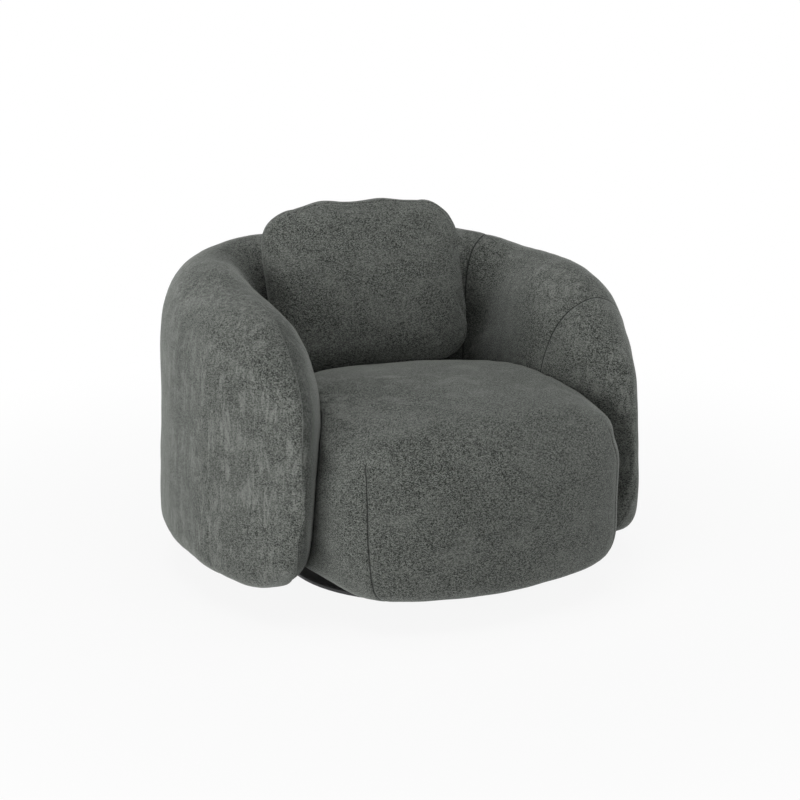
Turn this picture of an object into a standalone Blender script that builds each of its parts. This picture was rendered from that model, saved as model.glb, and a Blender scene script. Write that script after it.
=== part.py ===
"""Swivel tub chair.

A round steel base carries a flat ball-bearing swivel. The swivel carries a plywood bottom board with
the seat's timber frame and springs and the wall's posts and top rails. Five upholstered sections make
the wall that wraps round the seat, four make the seat, and a loose cushion leans on the back.

Units are metres, +Z is up. The origin is on the floor, on the swivel's axis. The chair faces -Y.
"""

import math

import bmesh
import bpy
import numpy as np
from mathutils import Matrix, Vector

# Gaps between pieces
SEATED_GAP = 0.0003
SOFT_GAP = 0.0004
SEAT_SIDE_GAP = 0.003
RUNNING_GAP = 0.0005

# How far below the floor the cutters of open hollows reach, how far the others reach past a face,
# and how far the boxes reach that keep one side of a form
BELOW = -0.02
OVERCUT = 0.002
FAR = 2.0

# Wall in plan: the line through the middle of the back, the corners and the arms
WALL_HALF_WIDTH = 0.488
ARM_START_Y = -0.022
BACK_REACH = 0.380
ARM_REACH = 0.300
PLAN_POWER_ACROSS = 3.0
PLAN_POWER_ALONG = 3.9

# Wall thickness along that line, and its rounded nose
BACK_THICKNESS = 0.205
BACK_CORNER_THICKNESS = 0.293
ARM_CORNER_THICKNESS = 0.325
ARM_THICKNESS = 0.166
EVEN_BACK = 0.20
NOSE_LENGTH = 0.276
NOSE_POWER = 1.57
NOSE_LIFT = 1.5
TIP_FLAT = 0.002

# Wall heights: the top falls along the arm, the bottom rises at the nose
WALL_TOP = 0.705
WALL_WAIST = 0.260
WALL_BOTTOM = 0.061
TOP_FALL_LENGTH = 0.739
TOP_FALL_POWER = 2.54
TOP_FALL_LIFT = 2.7
BOTTOM_RISE_LENGTH = 0.178
BOTTOM_RISE_POWER = 2.67
BOTTOM_RISE_LIFT = 1.72
BACK_SWELL = 0.045
ARM_SWELL = -0.040
BACK_SWELL_PLACE = 0.24
ARM_SWELL_PLACE = 0.50
SWELL_REACH = 0.26

# Wall section: how square its shoulders are, and how far it leans and bows
SECTION_POWER_ACROSS = 1.7
SECTION_POWER_TOP = 6.2
SECTION_POWER_BELOW = 1.9
SECTION_POWER_BOTTOM = 7.5
OUTER_POWER_ACROSS = 1.8
OUTER_POWER_BELOW = 2.3
BACK_LEAN = -0.020
ARM_LEAN = -0.036
WALL_BOW = 0.045

# The wall's sides: hollow inside at the corners above the seat, full inside at the arms and outside
CORNER_HOLLOW = 0.34
HOLLOW_PLACE = 0.40
HOLLOW_REACH = 0.34
HOLLOW_FOOT = 0.30
HOLLOW_DEEP = 0.50
ARM_FULLNESS = 0.012
FULLNESS_PLACE = 0.92
FULLNESS_REACH = 0.30
FULLNESS_HEIGHT = 0.42
FULLNESS_SPREAD = 0.10
OUTER_BELLY = 0.009
BELLY_PLACE = 0.75
BELLY_REACH = 0.55
BELLY_HEIGHT = 0.30
BELLY_SPREAD = 0.13

# Where the wall's sections meet, as shares of half the line
BACK_SEAM = 0.350
ARM_SEAM = 0.785

# Seat: a stuffed block that stands in front of the arms, as far inside the wall's widest place
# as its side inset says, and narrower towards its front
SEAT_SIDE_INSET = 0.148
SEAT_NARROWING = 0.116
SEAT_CENTRE_Y = -0.306
SEAT_FRONT_REACH = 0.184
SEAT_BACK_REACH = 0.552
SEAT_WAIST = 0.263
SEAT_RISE = 0.151
SEAT_DROP = 0.205
SEAT_CROWN_TILT = 0.128
SEAT_POWER_ACROSS = 1.7
SEAT_POWER_ALONG = 3.3
SEAT_REAR_POWER_ACROSS = 2.2
SEAT_REAR_POWER_ALONG = 2.6
SEAT_POWER_TOP = 2.7
SEAT_LIFT_TOP = 2.7
SEAT_POWER_BOTTOM = 6.7
SEAT_SHOULDER = 0.033
SHOULDER_HEIGHT = 0.70
SHOULDER_REACH = 0.65
SEAT_LOW_CORNER = 0.07
LOW_CORNER_DEPTH = 0.80
LOW_CORNER_REACH = 0.60

# Back cushion: its width by the wall's, its centre by the back's inner face and the seat's crown
CUSHION_SIDE_INSET = 0.233
CUSHION_HALF_HEIGHT = 0.202
CUSHION_HALF_DEPTH = 0.076
CUSHION_POWER_OUTLINE = 4.4
CUSHION_POWER_EDGE = 2.3
CUSHION_DRAWN_IN = 0.006
CUSHION_TILT = math.radians(15.3)
CUSHION_ROLL = math.radians(-0.7)
CUSHION_TURN = math.radians(-0.7)
CUSHION_ASIDE = -0.025
CUSHION_FROM_BACK = 0.0745
CUSHION_LIFT = 0.0025

# Base and its glides
BASE_RADIUS = 0.300
BASE_THICKNESS = 0.010
BASE_CHAMFER = 0.002
GLIDE_RADIUS = 0.018
GLIDE_HEIGHT = 0.003
GLIDE_COUNT = 6
GLIDE_INSET = 0.030

# Swivel: two rings with balls between them, a plate on top, a bolt through the centre
BEARING_RADIUS = 0.100
RACE_HALF_WIDTH = 0.020
RACE_THICKNESS = 0.007
RACE_SPACE = 0.0038
BALL_RADIUS = 0.00635
BALL_COUNT = 8
CAGE_HALF_WIDTH = 0.013
CAGE_THICKNESS = 0.0022
PLATE_HALF_WIDTH = 0.135
PLATE_THICKNESS = 0.005
BOLT_SPREAD = 0.112
BOLT_RADIUS = 0.004
BOLT_HEAD_RADIUS = 0.0085
BOLT_HEAD_HEIGHT = 0.0045
PIVOT_RADIUS = 0.006
PIVOT_HEAD_RADIUS = 0.012
PIVOT_HEAD_HEIGHT = 0.005
WASHER_RADIUS = 0.015
WASHER_THICKNESS = 0.0025
NUT_RADIUS = 0.0105
NUT_HEIGHT = 0.008
NUT_POCKET_RADIUS = 0.022
BOLT_TIP_MARGIN = 0.002

# Boards under the upholstery
BOARD_UNDERSIDE = 0.070
BOARD_THICKNESS = 0.018
BOARD_EDGE = 0.033
BOARD_CORNER_CUT = 0.030
BOARD_STEP = 0.020
SWIVEL_BOARD_MARGIN = 0.010
DUST_COVER_THICKNESS = 0.0012
DUST_COVER_MARGIN = 0.012
TONGUE_LENGTH = 0.220

# Seat frame and springs
FRAME_SIDE_PAD = 0.095
FRAME_FRONT_PAD = 0.100
FRAME_BACK_GAP = 0.012
RAIL_THICKNESS = 0.025
RAIL_HEIGHT = 0.090
SPRING_COUNT = 5
SPRING_WIRE_RADIUS = 0.0019
SPRING_LOOP_WIDTH = 0.045
SPRING_LOOP_PITCH = 0.075

# Wall frame: posts on the board and rails that follow the wall's top
POST_WIDTH = 0.044
TOP_RAIL_HEIGHT = 0.030
TOP_COVER = 0.070
SLOT_HALF_WIDTH = 0.026
FRAME_TIP_MARGIN = 0.140
RAIL_JOINT_SHARE = 0.755
BACK_POST_SHARE = 0.6

# Facets
WALL_SECTION_SIDES = 26
BACK_STATIONS = 5
CORNER_STATIONS = 10
ARM_STATIONS = 14
FRAME_STATIONS = 19
SEAT_SIDES = 44
SEAT_RINGS = 20
CUSHION_SIDES = 36
CUSHION_RINGS = 16

# Shades of the finishes
FABRIC_GREY = (0.088, 0.098, 0.090)
STEEL_BLACK = (0.012, 0.012, 0.013)
STEEL_ZINC = (0.42, 0.42, 0.43)
BRIGHT_STEEL = (0.56, 0.56, 0.57)
PLYWOOD = (0.52, 0.36, 0.20)
TIMBER = (0.48, 0.31, 0.16)
LINING_BLACK = (0.015, 0.015, 0.015)
GLIDE_GREY = (0.06, 0.06, 0.06)
CAGE_WHITE = (0.62, 0.62, 0.58)

for old in list(bpy.data.objects):
    bpy.data.objects.remove(old, do_unlink=True)

PARTS = bpy.data.collections.new("swivel_chair")
CUTTERS = bpy.data.collections.new("cutters")
bpy.context.scene.collection.children.link(PARTS)
bpy.context.scene.collection.children.link(CUTTERS)


def finish(name, color, roughness, metallic=0.0):
    """A Principled material of one colour."""
    material = bpy.data.materials.new(name)
    material.use_nodes = True
    shader = material.node_tree.nodes["Principled BSDF"]
    shader.inputs["Base Color"].default_value = (*color, 1.0)
    shader.inputs["Roughness"].default_value = roughness
    shader.inputs["Metallic"].default_value = metallic
    return material


FINISHES = {
    "fabric": finish("wall_fabric", FABRIC_GREY, 0.95),
    "lining": finish("lining", LINING_BLACK, 0.95),
    "black_steel": finish("black_steel", STEEL_BLACK, 0.45, 0.4),
    "zinc": finish("zinc_plate", STEEL_ZINC, 0.4, 1.0),
    "steel": finish("bright_steel", BRIGHT_STEEL, 0.25, 1.0),
    "plywood": finish("plywood", PLYWOOD, 0.7),
    "timber": finish("timber", TIMBER, 0.75),
    "felt": finish("glide_felt", GLIDE_GREY, 0.9),
    "nylon": finish("cage_nylon", CAGE_WHITE, 0.5),
}


# Making and joining pieces

def add_mesh(name, bm, look=None, collection=None):
    """Turns a bmesh into an object, as a part with its own finish or, without one, as a cutter."""
    bmesh.ops.recalc_face_normals(bm, faces=bm.faces)
    mesh = bpy.data.meshes.new(name)
    bm.to_mesh(mesh)
    bm.free()
    thing = bpy.data.objects.new(name, mesh)
    return place(thing, look, collection)


def place(thing, look=None, collection=None):
    """Links an object as a part with its own copy of a finish, or as a hidden cutter."""
    if look is None:
        CUTTERS.objects.link(thing)
        thing.hide_render = True
        thing.display_type = "WIRE"
        return thing
    (collection or PARTS).objects.link(thing)
    material = FINISHES[look].copy()
    material.name = thing.name
    thing.data.materials.append(material)
    return thing


def cut(thing, *cutters, operation="DIFFERENCE"):
    """Takes cutters away from a part with a Boolean, or keeps what it shares with them."""
    for cutter in cutters:
        boolean = thing.modifiers.new(cutter.name, "BOOLEAN")
        boolean.operation = operation
        boolean.solver = "EXACT"
        boolean.object = cutter
    return thing


def smooth(thing, angle=40.0):
    """Shades a rounded piece smooth, with its edges over the angle kept sharp."""
    thing.data.shade_smooth()
    thing.data.set_sharp_from_angle(angle=math.radians(angle))
    return thing


def box(name, low, high, look=None):
    """An upright box between two corners."""
    bm = bmesh.new()
    bmesh.ops.create_cube(bm, size=1.0)
    low = Vector(low)
    high = Vector(high)
    size = Matrix.Diagonal((*(high - low), 1.0))
    bmesh.ops.transform(bm, matrix=size, verts=bm.verts)
    thing = add_mesh(name, bm, look)
    thing.location = (low + high) / 2
    return thing


def cylinder(name, radius, low, high, look=None, sides=24, centre=(0.0, 0.0)):
    """An upright cylinder between two heights."""
    bm = bmesh.new()
    bmesh.ops.create_cone(
        bm, cap_ends=True, segments=sides, radius1=radius, radius2=radius, depth=high - low
    )
    thing = add_mesh(name, bm, look)
    thing.location = (*centre, (low + high) / 2)
    return thing


def turned(name, profile, look, sides=24, centre=(0.0, 0.0), closed=True):
    """A profile of radius and height, outer side from top to bottom, turned once about +Z."""
    mesh = bpy.data.meshes.new(name)
    points = [(radius, 0.0, height) for radius, height in profile]
    edges = [(i, i + 1) for i in range(len(points) - 1)]
    if closed:
        edges.append((len(points) - 1, 0))
    mesh.from_pydata(points, edges, [])
    thing = place(bpy.data.objects.new(name, mesh), look)
    thing.location = (*centre, 0.0)
    screw = thing.modifiers.new("turn", "SCREW")
    screw.axis = "Z"
    screw.steps = sides
    screw.render_steps = sides
    screw.use_merge_vertices = True
    screw.merge_threshold = 0.00005
    screw.use_smooth_shade = False
    return thing


def plate(name, outline, low, high, look=None):
    """A flat piece: a filled 2D curve, extruded to both sides of its middle height and made a mesh."""
    curve = bpy.data.curves.new(name, "CURVE")
    curve.dimensions = "2D"
    curve.fill_mode = "BOTH"
    curve.extrude = (high - low) / 2
    spline = curve.splines.new("POLY")
    spline.points.add(len(outline) - 1)
    for point, (x, y) in zip(spline.points, outline):
        point.co = (x, y, 0.0, 1.0)
    spline.use_cyclic_u = True
    return curve_to_mesh(name, curve, (0.0, 0.0, (low + high) / 2), look)


def curve_to_mesh(name, curve, location, look):
    """Makes a filled or bevelled curve a closed mesh, with its loose caps welded."""
    guide = bpy.data.objects.new(name + "_guide", curve)
    guide.location = location
    CUTTERS.objects.link(guide)
    bpy.context.view_layer.update()
    graph = bpy.context.evaluated_depsgraph_get()
    mesh = bpy.data.meshes.new_from_object(guide.evaluated_get(graph))
    place_of = guide.matrix_world.copy()
    bpy.data.objects.remove(guide, do_unlink=True)
    bm = bmesh.new()
    bm.from_mesh(mesh)
    bpy.data.meshes.remove(mesh)
    bmesh.ops.remove_doubles(bm, verts=bm.verts, dist=0.00001)
    thing = add_mesh(name, bm, look)
    thing.matrix_world = place_of
    return thing


def loft(name, rings, look=None):
    """Skins closed rings of as many points each with triangles, one after another, and caps both ends.

    The diagonals all run the same way, so that a hollow's roof and the rail below it stay parallel.
    """
    bm = bmesh.new()
    made = []
    for ring in rings:
        made.append([bm.verts.new(point) for point in ring])
    for near, far in zip(made, made[1:]):
        for i in range(len(near)):
            j = (i + 1) % len(near)
            bm.faces.new((near[i], near[j], far[j]))
            bm.faces.new((near[i], far[j], far[i]))
    bm.faces.new(made[0][::-1])
    bm.faces.new(made[-1])
    return add_mesh(name, bm, look)


# Heights that follow from the stack of the base, the swivel and the boards

BASE_UNDERSIDE = GLIDE_HEIGHT + SEATED_GAP
BASE_TOP = BASE_UNDERSIDE + BASE_THICKNESS
LOWER_RACE = BASE_TOP + SEATED_GAP
BALL_HEIGHT = LOWER_RACE + RACE_THICKNESS + RACE_SPACE / 2
UPPER_RACE = LOWER_RACE + RACE_THICKNESS + RACE_SPACE
PLATE_UNDERSIDE = UPPER_RACE + RACE_THICKNESS + SEATED_GAP
PLATE_TOP = PLATE_UNDERSIDE + PLATE_THICKNESS
BOARD_TOP = BOARD_UNDERSIDE + BOARD_THICKNESS
RAIL_UNDERSIDE = BOARD_TOP + SEATED_GAP
RAIL_TOP = RAIL_UNDERSIDE + RAIL_HEIGHT
SPRING_HEIGHT = RAIL_TOP + SEATED_GAP + SPRING_WIRE_RADIUS
FOAM_UNDERSIDE = SPRING_HEIGHT + SPRING_WIRE_RADIUS + SOFT_GAP

# Widths that follow from the wall's

SEAT_HALF_WIDTH = WALL_HALF_WIDTH - SEAT_SIDE_INSET
CUSHION_HALF_WIDTH = WALL_HALF_WIDTH - CUSHION_SIDE_INSET
FRAME_HALF_WIDTH = SEAT_HALF_WIDTH - FRAME_SIDE_PAD


# The wall's shape

def rise(share, power, lift_power):
    """0 at share 0, 1 from share 1 on, along a superellipse: a rounded end or shoulder."""
    share = np.clip(share, 0.0, 1.0)
    return (1.0 - (1.0 - share) ** power) ** (1.0 / lift_power)


def around(angle, power_across, power_up):
    """The point of a superellipse in the direction of an angle."""
    across = np.cos(angle)
    up = np.sin(angle)
    size = np.abs(across) ** power_across + np.abs(up) ** power_up
    across = np.sign(across) * np.abs(across) / size ** (1.0 / power_across)
    up = np.sign(up) * np.abs(up) / size ** (1.0 / power_up)
    return across, up


class WallLine:
    """The wall's centre line in plan, from the middle of the back (0) to an arm's tip (length)."""

    def __init__(self):
        steps = 400
        half = WALL_HALF_WIDTH - ARM_THICKNESS / 2
        across, along = around(np.linspace(np.pi / 2, 0.0, steps), PLAN_POWER_ACROSS, PLAN_POWER_ALONG)
        share = np.linspace(0.0, 1.0, steps)[1:]
        x = np.concatenate([half * across, np.full(steps - 1, half)])
        y = np.concatenate([ARM_START_Y + BACK_REACH * along, ARM_START_Y - ARM_REACH * share])
        travelled = np.concatenate([[0.0], np.cumsum(np.hypot(np.diff(x), np.diff(y)))])
        self.length = travelled[-1]
        self.at = np.linspace(0.0, self.length, steps)
        self.x = np.interp(self.at, travelled, x)
        self.y = np.interp(self.at, travelled, y)
        run_x = np.gradient(self.x, self.at)
        run_y = np.gradient(self.y, self.at)
        size = np.hypot(run_x, run_y)
        self.out_x = -run_y / size
        self.out_y = run_x / size

    def point(self, along, out=0.0):
        """A point beside the line: along is negative on the left, out is positive outwards."""
        side = -1.0 if along < 0 else 1.0
        at = abs(along)
        x = np.interp(at, self.at, self.x) + out * np.interp(at, self.at, self.out_x)
        y = np.interp(at, self.at, self.y) + out * np.interp(at, self.at, self.out_y)
        return side * float(x), float(y)


LINE = WallLine()


def nose(along):
    """1 along most of the wall, and down to 0 over the arm's rounded nose."""
    return rise((LINE.length - abs(along)) / NOSE_LENGTH, NOSE_POWER, NOSE_LIFT)


def wall_half_thickness(along):
    """Half the wall's thickness, even across the back and drawn in over the arm's rounded nose."""
    share = math.sqrt(((along / LINE.length) ** 2 + EVEN_BACK ** 2) / (1 + EVEN_BACK ** 2))
    rest = 1 - share
    width = BACK_THICKNESS * rest ** 3 + 3 * BACK_CORNER_THICKNESS * share * rest ** 2
    width += 3 * ARM_CORNER_THICKNESS * share ** 2 * rest + ARM_THICKNESS * share ** 3
    return width / 2 * nose(along)


def swell(share, place, reach=SWELL_REACH):
    """1 at a place, 0 a swell's reach away on either side, smooth between."""
    away = min(abs(share - place) / reach, 1.0)
    return math.cos(math.pi / 2 * away) ** 2


def wall_top(along):
    """The wall's highest point: it swells a little beside the back and falls along the arm."""
    share = abs(along) / LINE.length
    lift = rise((LINE.length - abs(along)) / TOP_FALL_LENGTH, TOP_FALL_POWER, TOP_FALL_LIFT)
    lift *= 1 + BACK_SWELL * swell(share, BACK_SWELL_PLACE) + ARM_SWELL * swell(share, ARM_SWELL_PLACE)
    return WALL_WAIST + (WALL_TOP - WALL_WAIST) * lift


def wall_bottom(along):
    """The wall's lowest point, which rises at the arm's nose."""
    left = LINE.length - abs(along)
    drop = rise(left / BOTTOM_RISE_LENGTH, BOTTOM_RISE_POWER, BOTTOM_RISE_LIFT)
    return WALL_WAIST - (WALL_WAIST - WALL_BOTTOM) * drop


def wall_shift(along, height):
    """How far the section leans outwards at a height."""
    share = min(abs(along) / LINE.length, 1.0)
    blend = share * share * (3 - 2 * share)
    lean = BACK_LEAN + (ARM_LEAN - BACK_LEAN) * blend
    up = (height - WALL_WAIST) / (WALL_TOP - WALL_WAIST)
    return lean * up + WALL_BOW * up * up


def mound(height, middle, spread):
    """1 at a height and less and less above and below it, as a bell's outline."""
    return math.exp(-((height - middle) / spread) ** 2)


def inner_reach(along, height, half):
    """How far the wall's inner side reaches from its line, for a half thickness and a height."""
    share = abs(along) / LINE.length
    deep = min(max((height - HOLLOW_FOOT) / (HOLLOW_DEEP - HOLLOW_FOOT), 0.0), 1.0) ** 2
    hollow = CORNER_HOLLOW * swell(share, HOLLOW_PLACE, HOLLOW_REACH) * deep
    full = ARM_FULLNESS * swell(share, FULLNESS_PLACE, FULLNESS_REACH) * nose(along)
    return half * (1 - hollow) + full * mound(height, FULLNESS_HEIGHT, FULLNESS_SPREAD)


def outer_reach(along, height, half):
    """How far the wall's outer side reaches from its line, for a half thickness and a height."""
    full = OUTER_BELLY * swell(abs(along) / LINE.length, BELLY_PLACE, BELLY_REACH) * nose(along)
    return half + full * mound(height, BELLY_HEIGHT, BELLY_SPREAD)


def wall_section(along, grow=0.0):
    """One closed ring of the wall's surface, square to its line and grown outwards if asked."""
    half = wall_half_thickness(along) + grow
    top = wall_top(along) + grow
    bottom = wall_bottom(along) - grow
    ring = []
    for angle in np.linspace(0.0, 2 * np.pi, WALL_SECTION_SIDES, endpoint=False):
        outer = math.cos(angle) > 0
        if math.sin(angle) >= 0:
            across, up = around(angle, OUTER_POWER_ACROSS if outer else SECTION_POWER_ACROSS, SECTION_POWER_TOP)
            height = float(WALL_WAIST + (top - WALL_WAIST) * up)
        else:
            across, up = around(angle, OUTER_POWER_BELOW if outer else SECTION_POWER_BELOW, SECTION_POWER_BOTTOM)
            height = float(WALL_WAIST + (WALL_WAIST - bottom) * up)
        reach = outer_reach(along, height, half) if outer else inner_reach(along, height, half)
        ring.append((*LINE.point(along, reach * float(across) + wall_shift(along, height)), height))
    return ring


def stations(start, stop, count, crowd_end=False):
    """Places along the wall's line, crowded towards the tip where it rounds off."""
    share = np.linspace(0.0, 1.0, count)
    if crowd_end:
        share = 1 - (1 - share) ** 2
    return [float(start + (stop - start) * part) for part in share]


BACK_END = BACK_SEAM * LINE.length
CORNER_END = ARM_SEAM * LINE.length
TIP_END = LINE.length * (1 - TIP_FLAT)


def wall_stations():
    """The stations of the three sections on the right: half the back, the corner and the arm."""
    half_gap = SEATED_GAP / 2
    back = stations(0.0, BACK_END - half_gap, BACK_STATIONS)
    corner = stations(BACK_END + half_gap, CORNER_END - half_gap, CORNER_STATIONS)
    arm = stations(CORNER_END + half_gap, TIP_END, ARM_STATIONS, crowd_end=True)
    return back, corner, arm


def wall_groups():
    """The stations of the five upholstered sections, negative on the left."""
    back, corner, arm = wall_stations()
    return {
        "left_arm": [-at for at in arm[::-1]],
        "left_corner": [-at for at in corner[::-1]],
        "wall_back": [-at for at in back[:0:-1]] + back,
        "right_corner": corner,
        "right_arm": arm,
    }


FRAME_REACH = LINE.length - FRAME_TIP_MARGIN
RAIL_JOINT = RAIL_JOINT_SHARE * LINE.length


def frame_stations(start, stop):
    """The timber frame's stations between two places, and the two places themselves."""
    right = stations(0.0, FRAME_REACH, FRAME_STATIONS)[1:]
    joint = [RAIL_JOINT - SEATED_GAP / 2, RAIL_JOINT + SEATED_GAP / 2]
    every = sorted(right + joint + [-at for at in right + joint])
    return [start] + [at for at in every if start < at < stop] + [stop]


def slot_height(along):
    """The top of the hollow that holds the frame inside the wall."""
    return wall_top(along) - TOP_COVER


def make_wall(board_space):
    """The five upholstered sections, hollow for the frame, and the grown copy that cuts neighbours."""
    groups = wall_groups()
    pieces = {name: smooth(loft(name, [wall_section(at) for at in group], "fabric"))
              for name, group in groups.items()}
    whole = sorted(at for group in groups.values() for at in group)
    grown = loft("cut_wall", [wall_section(at, SOFT_GAP) for at in whole])
    hollow = loft("cut_hollow", [hollow_section(at) for at in frame_stations(-FRAME_REACH, FRAME_REACH)])
    cut(hollow, board_space, operation="UNION")
    for piece in pieces.values():
        cut(piece, hollow)
    return grown


def frame_shift(at, height):
    """How far the straight timber frame leans outwards inside the wall at a height."""
    top = slot_height(at)
    share = (max(height, BOARD_TOP) - BOARD_TOP) / (top - BOARD_TOP)
    low = wall_shift(at, BOARD_TOP)
    return low + (wall_shift(at, top) - low) * share


def hollow_section(at):
    """The outline of the hollow round the frame, straight up from the board and open below."""
    top = slot_height(at)
    ring = []
    for side, height in ((1, BELOW), (1, BOARD_TOP), (1, top), (-1, top), (-1, BOARD_TOP), (-1, BELOW)):
        ring.append((*LINE.point(at, side * SLOT_HALF_WIDTH + frame_shift(at, height)), height))
    return ring


# Base and swivel

def make_base():
    """The round plate with its glides."""
    hole = PIVOT_RADIUS + RUNNING_GAP / 2
    pocket = PIVOT_HEAD_RADIUS + RUNNING_GAP
    pocket_top = BASE_UNDERSIDE + PIVOT_HEAD_HEIGHT + SEATED_GAP
    rim = BASE_RADIUS - BASE_CHAMFER
    profile = [
        (hole, BASE_TOP), (rim, BASE_TOP), (BASE_RADIUS, BASE_TOP - BASE_CHAMFER),
        (BASE_RADIUS, BASE_UNDERSIDE + BASE_CHAMFER), (rim, BASE_UNDERSIDE),
        (pocket, BASE_UNDERSIDE), (pocket, pocket_top), (hole, pocket_top),
    ]
    turned("base_plate", profile, "black_steel", sides=72)
    reach = BASE_RADIUS - GLIDE_INSET
    for i in range(GLIDE_COUNT):
        turn = 2 * math.pi * (i + 0.5) / GLIDE_COUNT
        centre = (reach * math.cos(turn), reach * math.sin(turn))
        cylinder(f"glide_{i + 1}", GLIDE_RADIUS, 0.0, GLIDE_HEIGHT, "felt", 16, centre)


def race_profile(underside, groove_up):
    """A flat ring's section with a round groove on its upper or lower side."""
    top = underside + RACE_THICKNESS
    inner = BEARING_RADIUS - RACE_HALF_WIDTH
    outer = BEARING_RADIUS + RACE_HALF_WIDTH
    groove = BALL_RADIUS + RUNNING_GAP
    reach = math.acos((RACE_SPACE / 2) / groove)
    arc = []
    for i in range(5):
        swing = -reach + 2 * reach * i / 4
        drop = groove * math.cos(swing)
        arc.append((BEARING_RADIUS + groove * math.sin(swing), BALL_HEIGHT - drop if groove_up else BALL_HEIGHT + drop))
    if groove_up:
        return [(outer, top), (outer, underside), (inner, underside), (inner, top)] + arc
    return [(outer, top), (outer, underside)] + arc[::-1] + [(inner, underside), (inner, top)]


def make_bearing():
    """Two grooved rings, the balls between them and the cage that spaces the balls."""
    turned("bearing_lower_ring", race_profile(LOWER_RACE, True), "zinc", sides=56)
    turned("bearing_upper_ring", race_profile(UPPER_RACE, False), "zinc", sides=56)
    low = BALL_HEIGHT - CAGE_THICKNESS / 2
    high = BALL_HEIGHT + CAGE_THICKNESS / 2
    inner = BEARING_RADIUS - CAGE_HALF_WIDTH
    outer = BEARING_RADIUS + CAGE_HALF_WIDTH
    cage = turned("ball_cage", [(outer, high), (outer, low), (inner, low), (inner, high)], "nylon", sides=48)
    for i in range(BALL_COUNT):
        turn = 2 * math.pi * i / BALL_COUNT
        centre = (BEARING_RADIUS * math.cos(turn), BEARING_RADIUS * math.sin(turn))
        hole = cylinder(f"cut_ball_{i + 1}", BALL_RADIUS + RUNNING_GAP, low - OVERCUT, high + OVERCUT, None, 14, centre)
        cut(cage, hole)
        bm = bmesh.new()
        bmesh.ops.create_uvsphere(bm, u_segments=12, v_segments=8, radius=BALL_RADIUS)
        ball = smooth(add_mesh(f"ball_{i + 1}", bm, "steel"), 60)
        ball.location = (*centre, BALL_HEIGHT)


def bolt_profile(radius, head_radius, head_low, head_high, tip):
    """A round-headed bolt with its head below, as a closed profile on the axis."""
    edge = (head_high - head_low) / 4
    return [
        (0.0, tip), (radius, tip), (radius, head_high), (head_radius, head_high),
        (head_radius, head_low + edge), (head_radius - edge, head_low), (0.0, head_low),
    ]


def make_pivot():
    """The centre bolt that holds the swivel together, with its washer and nut."""
    washer = PLATE_TOP + RUNNING_GAP
    nut = washer + WASHER_THICKNESS + SEATED_GAP
    tip = nut + NUT_HEIGHT + BOLT_TIP_MARGIN
    head_high = BASE_UNDERSIDE + PIVOT_HEAD_HEIGHT
    profile = bolt_profile(PIVOT_RADIUS, PIVOT_HEAD_RADIUS, BASE_UNDERSIDE, head_high, tip)
    turned("pivot_bolt", profile, "zinc", sides=24, closed=False)
    inner = PIVOT_RADIUS + SEATED_GAP
    high = washer + WASHER_THICKNESS
    turned("pivot_washer", [(WASHER_RADIUS, high), (WASHER_RADIUS, washer), (inner, washer), (inner, high)],
           "zinc", sides=24)
    hexagon = cylinder("pivot_nut", NUT_RADIUS, nut, nut + NUT_HEIGHT, "zinc", sides=6)
    cut(hexagon, cylinder("cut_nut", inner, nut - OVERCUT, nut + NUT_HEIGHT + OVERCUT, sides=24))


def bolt_places():
    """The four corners of the swivel's plate where it is bolted to the frame."""
    return [(x * BOLT_SPREAD, y * BOLT_SPREAD) for x in (-1, 1) for y in (-1, 1)]


def make_swivel_plate():
    """The steel plate on the bearing, the board above it and the bolts through both."""
    half = PLATE_HALF_WIDTH
    metal = box("swivel_plate", (-half, -half, PLATE_UNDERSIDE), (half, half, PLATE_TOP), "black_steel")
    cut(metal, cylinder("cut_pivot", PIVOT_RADIUS + RUNNING_GAP, PLATE_UNDERSIDE - OVERCUT, PLATE_TOP + OVERCUT))
    low = PLATE_TOP + SEATED_GAP
    high = BOARD_UNDERSIDE - SEATED_GAP
    half = PLATE_HALF_WIDTH + SWIVEL_BOARD_MARGIN
    board = box("swivel_board", (-half, -half, low), (half, half, high), "plywood")
    pocket = cylinder("cut_nut_pocket", NUT_POCKET_RADIUS, low - OVERCUT, BOARD_TOP + OVERCUT)
    cut(board, pocket)
    holes = []
    for i, centre in enumerate(bolt_places()):
        hole = cylinder(f"cut_bolt_{i + 1}", BOLT_RADIUS + SEATED_GAP, PLATE_UNDERSIDE - OVERCUT, BOARD_TOP + OVERCUT,
                        sides=12, centre=centre)
        holes.append(hole)
        head_high = PLATE_UNDERSIDE - SEATED_GAP
        head_low = head_high - BOLT_HEAD_HEIGHT
        profile = bolt_profile(BOLT_RADIUS, BOLT_HEAD_RADIUS, head_low, head_high, BOARD_TOP - BOLT_TIP_MARGIN)
        turned(f"swivel_bolt_{i + 1}", profile, "zinc", sides=12, centre=centre, closed=False)
    cut(metal, *holes)
    cut(board, *holes)
    return holes + [pocket]


# Timber frame

def inside_of_wall(x, height):
    """How far back the wall's inner face lies at a place across the chair."""
    at = np.linspace(0.0, FRAME_REACH, 200)
    faces = []
    for along in at:
        reach = inner_reach(along, height, wall_half_thickness(along))
        faces.append(LINE.point(along, wall_shift(along, height) - reach))
    face_x = np.array([face[0] for face in faces])
    face_y = np.array([face[1] for face in faces])
    order = np.argsort(face_x)
    return float(np.interp(x, face_x[order], face_y[order]))


FRAME_FRONT = SEAT_CENTRE_Y - SEAT_FRONT_REACH + FRAME_FRONT_PAD
FRAME_BACK = inside_of_wall(FRAME_HALF_WIDTH, RAIL_TOP) - FRAME_BACK_GAP


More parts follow.
